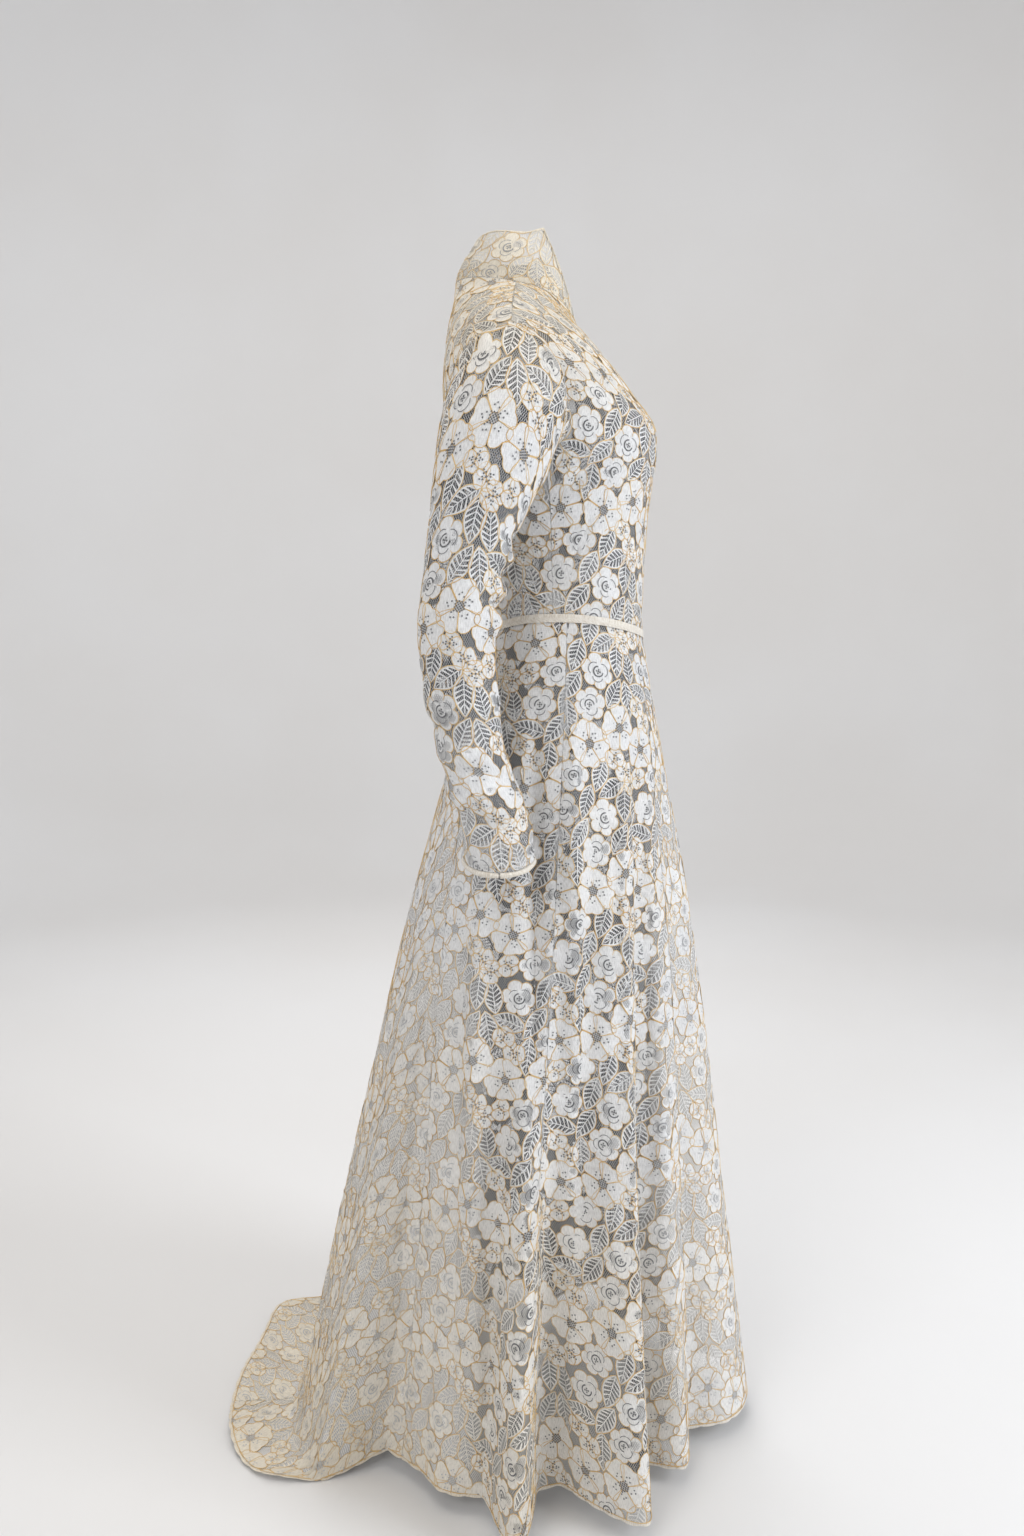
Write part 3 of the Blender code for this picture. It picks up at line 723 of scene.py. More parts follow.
def bodice_half(centre, columns):
    """A quarter of the bodice: rows down from the neckline, columns round from front to back."""
    reach, way = (ARMHOLE_FORWARD, -1.0) if centre == 0.0 else (ARMHOLE_BACK, 1.0)
    up = np.linspace(1.0, 0.0, LACES["bodice"].fine_rows + 1)
    edge = np.full(len(up), 90.0)
    # The armhole's bite goes by the height, and the height by the edge, so they are worked out in turns
    for _ in range(12):
        low = waist_height(edge)
        height = low + up * (read(NECKLINE, "height", edge) - low)
        level = (height - UNDERARM_HEIGHT) / (SHOULDER_TIP_HEIGHT - UNDERARM_HEIGHT)
        bite = 2.0 * np.sqrt(np.clip(level * (1.0 - level), 0.0, 0.25))
        edge = 90.0 + way * reach * bite
    share = np.linspace(0.0, 1.0, columns + 1)
    if way < 0:
        angle = edge[:, None] * share
    else:
        angle = edge[:, None] + (180.0 - edge[:, None]) * share
    low = waist_height(angle)
    height = low + up[:, None] * (read(NECKLINE, "height", angle) - low)
    points = bodice_surface(angle, height)
    return panel_of(points, drag_lift(angle, height), 0 if way < 0 else columns)


def collar_half(columns):
    """Right half of the collar: rows down from its top edge, columns round from front to back."""
    angle = np.linspace(COLLAR_START, 180.0, columns + 1)
    up = np.linspace(1.0, 0.0, LACES["collar"].fine_rows + 1)
    points = collar_surface(angle[None, :], up[:, None])
    roll = COLLAR_ROLL * np.sin(3.1 * np.radians(angle)[None, :] + 2.2 * up[:, None]) * up[:, None]
    return panel_of(points, roll, columns)


def through(rows, at):
    """A smooth curve through rows of points, by row number."""
    count = len(rows)
    first = np.clip(np.floor(at).astype(int), 0, count - 2)
    t = (at - first)[:, None, None]
    before, after = rows[np.maximum(first - 1, 0)], rows[np.minimum(first + 2, count - 1)]
    start, end = rows[first], rows[first + 1]
    return (
        start
        + 0.5 * t * (end - before)
        + t * t * (before - 2.5 * start + 2 * end - 0.5 * after)
        + t * t * t * (1.5 * (start - end) + 0.5 * (after - before))
    )


def sleeve_rings(turn):
    """The right sleeve's own rings of points, from the armhole down."""
    angle, height = armhole(np.mod(turn, 360.0))
    along = bodice_surface(angle + ANGLE_STEP, height) - bodice_surface(angle - ANGLE_STEP, height)
    up = bodice_surface(angle, height + SMALL_STEP) - bodice_surface(angle, height - SMALL_STEP)
    normal = np.cross(up, along)
    normal /= np.linalg.norm(normal, axis=-1, keepdims=True)
    rows = [bodice_surface(angle, height) + SET_IN_GAP * normal]
    out, back = np.cos(np.radians(turn)), np.sin(np.radians(turn))
    for ring in SLEEVE_RINGS:
        right = (ring.outer + ring.inner) / 2 + (ring.outer - ring.inner) / 2 * out
        level = (ring.outer_height + ring.inner_height) / 2
        level = level + (ring.outer_height - ring.inner_height) / 2 * out
        rows.append(place(right, -ring.behind - ring.half_depth * back, level))
    return np.array(rows)


def sleeve_panel(columns):
    """Right sleeve: rows down from the armhole, columns round from the underarm seam by the front."""
    turn = np.linspace(180.0, 540.0, columns + 1)
    rings = sleeve_rings(turn)
    points = through(rings, np.linspace(0.0, len(rings) - 1.0, LACES["sleeve"].fine_rows + 1))
    down = run_of(points)
    lift = np.zeros(points.shape[:2])
    for wrinkle in SLEEVE_WRINKLES:
        off = either_way(turn - wrinkle.turn)
        along = down[:, None] - wrinkle.down - wrinkle.slant * off
        near = np.exp(-((along / wrinkle.half_down) ** 2) - ((off / wrinkle.half_turn) ** 2)[None, :])
        lift += WRINKLE_SCALE * wrinkle.height * near
    lift *= (ease(down / SLEEVE_HEAD_CALM) * ease((down[-1] - down) / CUFF_CALM))[:, None]
    return panel_of(points, lift, columns // 2)


def gore_panel(gore, columns):
    """A gore: rows down from the waist, columns round by the wearer's right, evenly spaced along its hem."""
    fine = np.linspace(gore.start, gore.end, 600)
    length = run_of(skirt_surface(fine, 1.0))
    angle = np.interp(np.linspace(0.0, length[-1], columns + 1), length, fine)
    down = np.linspace(0.0, 1.0, LACES["skirt"].fine_rows + 1)
    points = skirt_surface(angle[None, :], down[:, None])
    lift = np.zeros(points.shape[:2])
    for crease in CREASES:
        off = either_way(angle[None, :] - (crease.angle + crease.lean * down[:, None]))
        grown = ease((down - crease.start) / CREASE_START_RUN)
        grown *= ease((crease.end + CREASE_END_RUN / 2 - down) / CREASE_END_RUN)
        lift += CREASE_SCALE * crease.height * grown[:, None] * np.exp(-((off / crease.half_angle) ** 2))
    points = points + outward_of(points) * lift[..., None]
    points[..., 2] = np.maximum(points[..., 2], CLOTH + SEAM_GAP - HEM_ABOVE_FLOOR - HOLD_HEIGHT)
    return panel_of(points, np.zeros(points.shape[:2]), columns // 2)


def mesh_piece(name, points, faces, places, materials, kinds=None):
    """A new piece from arrays of points, of faces that all have as many corners, and of flat places."""
    points = np.asarray(points, np.float32)
    faces = np.asarray(faces, np.int32)
    count, corners = faces.shape
    mesh = bpy.data.meshes.new(name)
    mesh.vertices.add(len(points))
    mesh.vertices.foreach_set("co", points.ravel())
    mesh.loops.add(count * corners)
    mesh.loops.foreach_set("vertex_index", faces.ravel())
    mesh.polygons.add(count)
    mesh.polygons.foreach_set("loop_start", np.arange(0, count * corners, corners, dtype=np.int32))
    for material in materials:
        mesh.materials.append(material)
    if kinds is not None:
        mesh.polygons.foreach_set("material_index", np.asarray(kinds, np.int32))
    layer = mesh.uv_layers.new(name="flat_cloth")
    layer.data.foreach_set("uv", np.asarray(places, np.float32)[faces.ravel()].ravel())
    mesh.update(calc_edges=True)
    mesh.validate()
    mesh.shade_smooth()
    obj = bpy.data.objects.new(name, mesh)
    bpy.context.scene.collection.objects.link(obj)
    return obj


def flat_places(across, down):
    """Where points lie on the flat cloth, with its length running down."""
    return np.stack([across.ravel(), -np.broadcast_to(down, across.shape).ravel()], axis=1)


def grid_faces(rows, columns):
    """Quads of a grid of points, wound so that they face out."""
    i, j = np.meshgrid(np.arange(rows - 1), np.arange(columns - 1), indexing="ij")
    a = (i * columns + j).ravel()
    return np.stack([a, a + 1, a + columns + 1, a + columns], axis=1)


def thinned(count, wanted):
    """Row or column numbers, evenly taken from a finer grid, with both ends."""
    return np.unique(np.round(np.linspace(0, count - 1, wanted + 1)).astype(int))


def net_sheet(name, panel, rows, columns, material):
    """The net ground of a panel as one thin sheet, taken from every few rows and columns of the fine grid."""
    i = thinned(panel.points.shape[0], rows)
    j = thinned(panel.points.shape[1], columns)
    points = panel.points[np.ix_(i, j)].reshape(-1, 3)
    places = flat_places(panel.across[np.ix_(i, j)], panel.down[i][:, None])
    return mesh_piece(name, points, grid_faces(len(i), len(j)), places, [material])


def direction(line, closed):
    """Which way a line of points runs at each of them."""
    if closed:
        along = np.roll(line, -1, axis=0) - np.roll(line, 1, axis=0)
    else:
        along = np.gradient(line, axis=0)
    return along / np.linalg.norm(along, axis=1, keepdims=True)


def turn_of(points, faces):
    """Twice the area of flat triangles, negative where they wind the other way."""
    a, b, c = (points[faces[:, k], :2] for k in range(3))
    return (b[:, 0] - a[:, 0]) * (c[:, 1] - a[:, 1]) - (b[:, 1] - a[:, 1]) * (c[:, 0] - a[:, 0])


# Kinds of stitching, in the order of a motif's materials; openwork is drawn dark as painted shade
CLOTHWORK, OUTLINE, OPENWORK = range(3)

# Heights of a petal's edge and of the foot of its thread
RIM = 0.36
THREAD_FOOT = 0.32


class Stitching:
    """Points in millimetres and triangles of one motif, each triangle with its kind."""

    def __init__(self):
        self.points, self.faces, self.kinds, self.count = [], [], [], 0

    def add(self, points, faces, kind):
        """Adds points with their triangles or quads."""
        points, faces = np.asarray(points, float), np.asarray(faces, int)
        if faces.shape[1] == 4:
            faces = np.concatenate([faces[:, [0, 1, 2]], faces[:, [0, 2, 3]]])
        self.points.append(points)
        self.faces.append(faces + self.count)
        self.kinds.append(np.full(len(faces), kind))
        self.count += len(points)

    def patch(self, outline, scale, rim, crown):
        """Clothwork just inside an outline, crowned a little towards its middle."""
        middle = outline.mean(axis=0)
        count = len(outline)
        edge = middle + (outline - middle) * scale
        edge = np.column_stack([edge, np.full(count, rim + (crown - rim) * (1 - scale**2))])
        k = np.arange(count)
        fan = np.stack([np.full(count, count), k, (k + 1) % count], axis=1)
        self.add(np.concatenate([edge, np.append(middle, crown)[None]]), fan, CLOTHWORK)

    def strip(self, line, width, heights, kind, closed=False):
        """A thread along a line, at as many heights as given from one side of it to the other."""
        line = np.asarray(line, float)
        along = direction(line, closed)
        side = np.column_stack([-along[:, 1], along[:, 0]]) * np.reshape(width, (-1, 1)) / 2
        count = len(line)
        rows = [
            np.column_stack([line + side * at, np.full(count, height)])
            for at, height in zip(np.linspace(-1.0, 1.0, len(heights)), heights)
        ]
        k = np.arange(count if closed else count - 1)
        after = (k + 1) % count
        quads = np.stack([k, after, count + after, count + k], axis=1)
        faces = [quads + r * count for r in range(len(rows) - 1)]
        self.add(np.concatenate(rows), np.concatenate(faces), kind)

    def petal(self, outline, scale, lift, crown, thread, top):
        """Clothwork with a raised outline thread, both lifted by how high the petal lies."""
        self.patch(outline, scale, lift + RIM, lift + crown)
        foot = lift + THREAD_FOOT
        self.strip(outline, thread, (foot, lift + top, foot), OUTLINE, closed=True)

    def eyes(self, places, size, height, turn=0.0):
        """Small square eyes of openwork, dark patches of painted shade for openings too fine to cut."""
        corner = turned(np.array([[-1.0, -1.0], [1.0, -1.0], [1.0, 1.0], [-1.0, 1.0]]) * size / 2, turn)
        for middle in places:
            square = np.column_stack([corner + np.asarray(middle, float), np.full(4, height)])
            self.add(square, [[0, 1, 2, 3]], OPENWORK)

    def finished(self):
        """All the stitching as arrays, wound to face out."""
        points, faces = np.concatenate(self.points), np.concatenate(self.faces)
        wrong = turn_of(points, faces) < 0
        faces[wrong] = faces[wrong][:, ::-1]
        return points, faces, np.concatenate(self.kinds)


def turned(points, degrees):
    """Flat points turned about the middle."""
    c, s = np.cos(np.radians(degrees)), np.sin(np.radians(degrees))
    return points @ np.array([[c, s], [-s, c]])


def ray(turn):
    """Flat directions at turns in radians."""
    return np.stack([np.cos(turn), np.sin(turn)], axis=-1)


def disc(radius, count):
    """Points round a circle."""
    return radius * ray(np.linspace(0.0, 2 * pi, count, endpoint=False))


# Half of a large petal's edge, from its base out to the dip at its tip
PETAL_EDGE = np.array(
    [(5.0, 3.6), (10.5, 8.0), (16.0, 12.6), (20.8, 15.2), (25.0, 13.8), (27.6, 9.6), (28.2, 5.0), (26.6, 0.0)]
)

# A large petal's length and width against that edge, its turn in degrees and how high it lies
Petal = namedtuple("Petal", "long broad turn lift")
PETALS = rows_of(
    Petal,
    (1.00, 1.00, 0.0, 0.0),
    (0.90, 1.04, 4.0, 0.24),
    (1.06, 0.94, -4.0, 0.08),
    (0.94, 1.06, 3.0, 0.30),
    (1.03, 0.96, -3.0, 0.16),
)

# A leaf's half width and half length
LEAF_HALF_WIDTH = 10.8
LEAF_HALF_LENGTH = 22.0


def flower(outline_width):
    """Five broad petals round a chequer of small eyes."""
    made = Stitching()
    edge = np.concatenate([PETAL_EDGE, PETAL_EDGE[:-1][::-1] * np.array([1.0, -1.0])])[::-1]
    made.patch(disc(8.0, 10), 1.0, 0.30, 0.50)
    for k, petal in enumerate(PETALS):
        turn = 72.0 * k
        outline = turned(edge * np.array([petal.long, petal.broad]), turn + petal.turn)
        made.petal(outline, 0.97, petal.lift, 0.62, outline_width, 0.96)
        for side, out in ((-1.0, 10.2), (1.0, 12.4), (0.0, 14.8)):
            middle = turned(np.array([[out, side * 2.9]]), turn + petal.turn)
            made.eyes(middle, 1.7, 1.02 + petal.lift, turn)
    steps = [(i, j) for i in range(-3, 4) for j in range(-3, 4) if abs(i) + abs(j) <= 3 and (i, j) != (3, 0)]
    made.eyes([(i * 2.5, j * 2.5) for i, j in steps], 1.75, 1.14)
    return made.finished()


def rose(outline_width):
    """An open rose: wavy edge, broken inner fold and broken inner ring drawn as dark lines of painted shade,
    and a ringed eye with eyes of painted shade.
    """
    made = Stitching()
    t = np.linspace(0.0, 2 * pi, 36, endpoint=False)
    reach = 17.6 + 4.6 * np.abs(np.sin(3.0 * t)) ** 0.65 + 1.1 * np.sin(t + 0.6) + 0.7 * np.sin(2 * t)
    outline = ray(t) * reach[:, None]
    made.patch(outline, 0.97, 0.38, 0.66)
    made.strip(outline, outline_width, (0.30, 0.98, 0.30), OUTLINE, closed=True)
    for k in range(6):
        tip = ray(k * pi / 3)
        made.strip([tip * (12.6 + k % 3), tip * reach[6 * k]], (0.5, 1.0), (0.86, 0.86), OUTLINE)
    for start, sweep, near, far in ((0.5, 1.7, 10.4, 13.6), (2.6, 1.5, 10.0, 13.0), (4.5, 1.7, 10.6, 13.8)):
        u = np.linspace(0.0, 1.0, 7)
        bow = near + (far - near) * np.sin(pi * u) ** 0.8
        made.strip(ray(start + sweep * u) * bow[:, None], 0.75, (0.90, 0.90), OPENWORK)
    made.strip(ray(np.linspace(0.3, 4.9, 12)) * 6.3, 1.5, (0.88, 0.88), OPENWORK)
    made.strip(disc(4.6, 10), 1.5, (1.00, 1.00), CLOTHWORK, closed=True)
    made.eyes([(0.0, 0.0), (2.3, 0.2), (-2.3, -0.2), (0.2, -2.3), (-0.2, 2.3)], 1.7, 0.96)
    return made.finished()


def cluster(outline_width):
    """Two small blossoms of rounded petals, with eyes where the petals meet."""
    made = Stitching()
    t = np.linspace(0.0, 2 * pi, 11, endpoint=False)
    for number, (x, y, turn, size) in enumerate(((-9.0, -6.6, 20.0, 1.04), (8.8, 7.2, 68.0, 1.00))):
        heart = np.array([x, y])
        for k in range(4):
            aim = ray(np.radians(turn + 90.0 * k + 7.0 * (-1) ** k))
            side = np.array([-aim[1], aim[0]])
            wide = (7.0 + 0.7 * ((k + number) % 2)) * size
            bean = wide * (1.0 - 0.13 * np.cos(2 * t) * (k % 2) - 0.08 * np.cos(3 * t))
            round_it = np.outer(np.cos(t), aim) + np.outer(np.sin(t), side) * 1.08
            lift = (0.0, 0.20, 0.08, 0.28)[(k + number) % 4]
            outline = heart + aim * 7.2 * size + round_it * bean[:, None]
            made.petal(outline, 0.96, lift, 0.60, outline_width, 0.92)
            spots = ((4.2, -1.2), (4.4, 1.4), (7.4, 0.2))
            places = [heart + aim * out * size + side * way for out, way in spots]
            made.eyes(places, 1.7, 0.98 + lift, turn + 90.0 * k)
        made.eyes([heart], 2.2, 1.16, turn + 45.0)
    return made.finished()


def leaf_reach(share):
    """A leaf's half width at each share of its half length."""
    return LEAF_HALF_WIDTH * np.cos(share * pi / 2) ** 0.86 * (1 - 0.18 * share)


def leaf(outline_width):
    """A pointed leaf: raised edge, midrib and slanting veins over the net."""
    made = Stitching()
    s = np.linspace(-1.0, 1.0, 11)
    right = np.column_stack([leaf_reach(s), LEAF_HALF_LENGTH * s])
    outline = np.concatenate([right, right[1:-1][::-1] * np.array([-1.0, 1.0])])
    made.strip(outline, 1.9, (0.34, 0.98, 0.34), CLOTHWORK, closed=True)
    made.strip(outline * np.array([1.13, 1.07]), outline_width * 0.9, (0.86, 0.86), OUTLINE, closed=True)
    for k in range(4):
        low = -21.0 + 10.0 * k
        widths = (1.5 - 0.15 * k, 1.35 - 0.15 * k)
        made.strip([(0.0, low), (0.0, low + 10.0)], widths, (0.66, 0.66), CLOTHWORK)
    for k in range(6):
        start = -17.5 + 5.4 * k
        end = start + 5.6
        reach = leaf_reach(end / LEAF_HALF_LENGTH) * 0.97
        for side in (-1.0, 1.0):
            made.strip([(side * 0.5, start), (side * reach, end)], (0.9, 2.3), (0.52, 0.52), CLOTHWORK)
    return made.finished()


def onto(panel, across, down, height):
    """Points on a panel from their flat places and heights above it, and whether each had to be moved in."""
    rows, columns = panel.across.shape
    kept_down = np.clip(down, EDGE_INSET, panel.down[-1] - EDGE_INSET)
    r = np.interp(kept_down, panel.down, np.arange(rows))
    r0 = np.minimum(r.astype(int), rows - 2)
    t = r - r0
    low = panel.across[r0, 0] * (1 - t) + panel.across[r0 + 1, 0] * t + EDGE_INSET
    high = panel.across[r0, -1] * (1 - t) + panel.across[r0 + 1, -1] * t - EDGE_INSET
    kept_across = np.clip(across, low, high)
    c = np.zeros(len(r))
    order = np.argsort(r0, kind="stable")
    starts = np.searchsorted(r0[order], np.arange(rows))
    numbers = np.arange(columns)
    for row in range(rows - 1):
        some = order[starts[row] : starts[row + 1]]
        if len(some):
            at = kept_across[some]
            above = np.interp(at, panel.across[row], numbers)
            below = np.interp(at, panel.across[row + 1], numbers)
            c[some] = above * (1 - t[some]) + below * t[some]
    c0 = np.minimum(c.astype(int), columns - 2)
    f = (c - c0)[:, None]
    t = t[:, None]

    def blend(grid):
        top = grid[r0, c0] * (1 - f) + grid[r0, c0 + 1] * f
        return top * (1 - t) + (grid[r0 + 1, c0] * (1 - f) + grid[r0 + 1, c0 + 1] * f) * t

    points = blend(panel.points) + blend(panel.outward) * height[:, None]
    moved = (np.abs(kept_across - across) > SMALLEST_MOVE) | (np.abs(kept_down - down) > SMALLEST_MOVE)
    return points, kept_across, kept_down, moved


def repeats(low, high, step):
    """Numbers of the repeats that reach into a stretch of cloth."""
    return range(int(np.floor(low / step)) - 1, int(np.ceil(high / step)) + 2)


def lace_motifs(name, panel, shift, materials, sizes):
    """The repeat's flowers, roses, clusters and leaves laid all over a panel and trimmed at its edges."""
    kinds = {"flower": flower, "rose": rose, "cluster": cluster, "leaf": leaf}
    width, length = REPEAT_WIDTH * sizes.repeat_scale, REPEAT_LENGTH * sizes.repeat_scale
    low, high = panel.across.min() * MILLIMETRES, panel.across.max() * MILLIMETRES
    end = panel.down[-1] * MILLIMETRES
    points, faces, marks, tones, count = [], [], [], [], 0
    for kind, make in kinds.items():
        shape, triangles, parts = make(sizes.outline_width * MILLIMETRES)
        spots = []
        for number, motif in enumerate(REPEAT):
            if motif.kind != kind:
                continue
            for i in repeats(low - shift[0], high - shift[0], width):
                for j in repeats(-shift[1], end - shift[1], length):
                    x = shift[0] + i * width + motif.across * sizes.repeat_scale
                    y = shift[1] + j * length + motif.down * sizes.repeat_scale
                    if low - MOTIF_REACH < x < high + MOTIF_REACH and -MOTIF_REACH < y < end + MOTIF_REACH:
                        tone = (number * 0.618 + i * 0.37 + j * 0.73) % 1.0
                        spots.append((x, y, motif.turn, MOTIF_SHARE * motif.size * sizes.repeat_scale, tone))
        if not spots:
            continue
        x, y, turn, size, tone = np.array(spots).T
        c, s = np.cos(np.radians(turn))[:, None], np.sin(np.radians(turn))[:, None]
        flat_x = x[:, None] + size[:, None] * (c * shape[:, 0] - s * shape[:, 1])
        flat_y = y[:, None] + size[:, None] * (s * shape[:, 0] + c * shape[:, 1])
        height = np.broadcast_to(shape[:, 2] + MOTIF_LIFTS[kind], flat_x.shape)
        points.append(np.stack([flat_x.ravel(), flat_y.ravel(), height.ravel()], axis=1) / MILLIMETRES)
        offsets = count + np.arange(len(spots)) * len(shape)
        faces.append((triangles[None] + offsets[:, None, None]).reshape(-1, 3))
        marks.append(np.tile(parts, len(spots)))
        tones.append(np.repeat(tone, len(shape)))
        count += len(spots) * len(shape)
    points, faces = np.concatenate(points), np.concatenate(faces)
    marks, tones = np.concatenate(marks), np.concatenate(tones)
    placed, across, down, moved = onto(panel, points[:, 0], points[:, 1], points[:, 2])
    turn = turn_of(np.stack([across, down], axis=1), faces)
    kept = ~moved[faces].all(axis=1) & (np.abs(turn) > SMALLEST_TURN)
    faces, marks = faces[kept], marks[kept]
    used, numbers = np.unique(faces, return_inverse=True)
    faces = numbers.reshape(-1, 3)
    obj = mesh_piece(name, placed[used], faces, flat_places(across[used], down[used]), materials, marks)
    layer = obj.data.attributes.new("tone", "FLOAT", "POINT")
    layer.data.foreach_set("value", tones[used].astype(np.float32))
    return obj


def hem_edging(name, path, side, outward, material):
    """A narrow strip of cloth laid along the hem, scalloped along its lower edge."""
    length = run_of(path)
    share = np.array([-1.0, 0.0, 1.0])
    rows = []
    for at in share:
        edge = EDGING_HALF_WIDTH * at
        if at == 1.0:
            edge = edge + SCALLOP_DEPTH * np.abs(np.sin(pi * length / SCALLOP_PITCH))
        rows.append(path + side * np.reshape(edge, (-1, 1)) + outward * (EDGING_LIFT * (1 - 0.5 * at * at)))
    points = np.array(rows)
    faces = grid_faces(len(share), len(path))
    normal = np.cross(points[0, 1] - points[0, 0], points[1, 0] - points[0, 0])
    if normal @ outward[0] < 0:
        faces = faces[:, ::-1]
    across = np.broadcast_to(length, points.shape[:2])
    places = flat_places(across, (share * EDGING_HALF_WIDTH)[:, None])
    return mesh_piece(name, points.reshape(-1, 3), faces, places, [material])


def tube_along(name, path, radius, sides, closed, material, twist=0.0):
    """A rolled edge or cord along a path, round or slightly twisted."""
    count = len(path)
    along = direction(path, closed)
    first = np.cross(along, np.array([0.0, 0.0, 1.0]))
    small = np.linalg.norm(first, axis=1) < 0.2
    first[small] = np.cross(along[small], np.array([1.0, 0.0, 0.0]))
    first /= np.linalg.norm(first, axis=1, keepdims=True)
    second = np.cross(along, first)
    length = run_of(path)
    turn = np.linspace(0.0, 2 * pi, sides, endpoint=False)
    round_at = turn[None, :] + twist * length[:, None]
    swell = radius * (1.0 + (0.07 * np.cos(2 * turn)[None, :] if twist else 0.0))
    one_way, other_way = np.cos(round_at) * swell, np.sin(round_at) * swell
    points = path[:, None] + first[:, None] * one_way[..., None] + second[:, None] * other_way[..., None]
    points = points.reshape(-1, 3)
    i, j = np.meshgrid(np.arange(count if closed else count - 1), np.arange(sides), indexing="ij")
    after, beside = (i + 1) % count, (j + 1) % sides
    corners = ((i, j), (i, beside), (after, beside), (after, j))
    faces = np.stack([row * sides + column for row, column in corners], axis=-1).reshape(-1, 4)
    a, b, _, d = points[faces[0]]
    if np.cross(b - a, d - a) @ (a - path[0]) < 0:
        faces = faces[:, ::-1]
    places = np.stack([np.repeat(length, sides), np.tile(turn * radius, count)], axis=1)
    return mesh_piece(name, points, faces, places, [material])


# Materials


def feed(tree, socket, value):
    """Links a socket to another or sets its own value. A colour's three numbers stand for an opaque one."""
    if isinstance(value, bpy.types.NodeSocket):
        tree.links.new(value, socket)
    else:
        socket.default_value = (*value[:3], 1.0) if socket.type == "RGBA" else value


def add_node(tree, kind, inputs=(), **settings):
    """A node with its settings, its plain values and its links."""
    made = tree.nodes.new(kind)
    for name, value in settings.items():
        setattr(made, name, value)
    for socket, value in dict(inputs).items():
        feed(tree, made.inputs[socket], value)
    return made


def math_node(tree, operation, first, second=0.0):
    """One or two values worked out into another."""
    return add_node(tree, "ShaderNodeMath", {0: first, 1: second}, operation=operation).outputs[0]


def plus(tree, first, second):
    """Two values added up."""
    return math_node(tree, "ADD", first, second)


def times(tree, first, second):
    """Two values multiplied."""
    return math_node(tree, "MULTIPLY", first, second)


def range_node(tree, value, low, high, to_low=0.0, to_high=1.0, smooth=True):
    """A value taken from one range to another, by a smooth step or evenly."""
    inputs = {"Value": value, "From Min": low, "From Max": high, "To Min": to_low, "To Max": to_high}
    kind = "SMOOTHSTEP" if smooth else "LINEAR"
    return add_node(tree, "ShaderNodeMapRange", inputs, interpolation_type=kind).outputs["Result"]


def noise(tree, at, scale, detail):
    """Soft patches or grain."""
    return add_node(tree, "ShaderNodeTexNoise", {"Vector": at, "Scale": scale, "Detail": detail}).outputs[0]


def mix_colour(tree, factor, first, second, blend="MIX"):
    """One colour laid over another by a share."""
    inputs = {0: factor, 6: first, 7: second}
    settings = {"data_type": "RGBA", "blend_type": blend, "clamp_factor": True}
    return add_node(tree, "ShaderNodeMix", inputs, **settings).outputs[2]


def axes_of(tree, at):
    """A place taken apart into X, Y and Z."""
    return add_node(tree, "ShaderNodeSeparateXYZ", {0: at}).outputs


def new_group(name, inputs, outputs):
    """A shader node group with its inputs and outputs, each named with its kind."""
    tree = bpy.data.node_groups.new(name, "ShaderNodeTree")
    for in_out, sockets in (("INPUT", inputs), ("OUTPUT", outputs)):
        for label, kind in sockets.items():
            tree.interface.new_socket(label, in_out=in_out, socket_type=f"NodeSocket{kind}")
    return tree, tree.nodes.new("NodeGroupInput").outputs, tree.nodes.new("NodeGroupOutput").inputs


def group_node(tree, name, make, inputs):
    """The outputs of a shared group, which is made when it is first wanted."""
    group = bpy.data.node_groups.get(name) or make(name)
    return add_node(tree, "ShaderNodeGroup", inputs, node_tree=group).outputs


def net_group(name):
    """Diagonal net: where its threads are and how high they stand."""
    inputs = {"Place": "Vector", "Cell": "Float", "Thread": "Float"}
    tree, given, out = new_group(name, inputs, {"Threads": "Float", "Relief": "Float"})
    place = axes_of(tree, given["Place"])
    steep = times(tree, place["Y"], NET_SLOPE)
    offs = []
    for sign in ("ADD", "SUBTRACT"):
        line = math_node(tree, "DIVIDE", math_node(tree, sign, place["X"], steep), given["Cell"])
        offs.append(math_node(tree, "PINGPONG", line, 0.5))
    near = math_node(tree, "MINIMUM", *offs)
    edge = plus(tree, given["Thread"], NET_SOFTNESS)
    feed(tree, out["Threads"], range_node(tree, near, edge, given["Thread"], smooth=False))
    feed(tree, out["Relief"], math_node(tree, "SUBTRACT", 0.5, near))
    return tree


def ageing_and_painted_shade(name):
    """Ivory that is warmer round the collar and along the train, and the share of painted shade that darkens
    the lace over a band through the gown's middle and its upper part, less at the collar.
    """
    inputs = {"Position": "Vector", "Ivory": "Color", "Cream": "Color", "Cream Share": "Float"}
    tree, given, out = new_group(name, inputs, {"Colour": "Color", "Painted Shade": "Float"})
    place = axes_of(tree, given["Position"])
    shoulders = times(tree, range_node(tree, place["Z"], *WARM_SHOULDERS), 0.9)
    behind = times(tree, range_node(tree, place["Z"], *WARM_HEM), range_node(tree, place["Y"], *WARM_BACK))
    patches = noise(tree, given["Position"], 4.5, 3.0)
    warm = math_node(tree, "MAXIMUM", shoulders, behind)
    warm = plus(tree, warm, times(tree, math_node(tree, "SUBTRACT", patches, 0.48), 0.9))
    warm = plus(tree, warm, given["Cream Share"])
    feed(tree, out["Colour"], mix_colour(tree, warm, given["Ivory"], given["Cream"]))
    off = math_node(tree, "ABSOLUTE", plus(tree, place["Y"], MIDDLE_BEHIND))
    high = range_node(tree, place["Z"], *PAINTED_SHADE_HEIGHT)
    inner = math_node(tree, "MAXIMUM", range_node(tree, off, *PAINTED_SHADE_DEPTH), high)
    feed(tree, out["Painted Shade"], times(tree, inner, range_node(tree, place["Z"], *CLEAR_COLLAR)))
    return tree


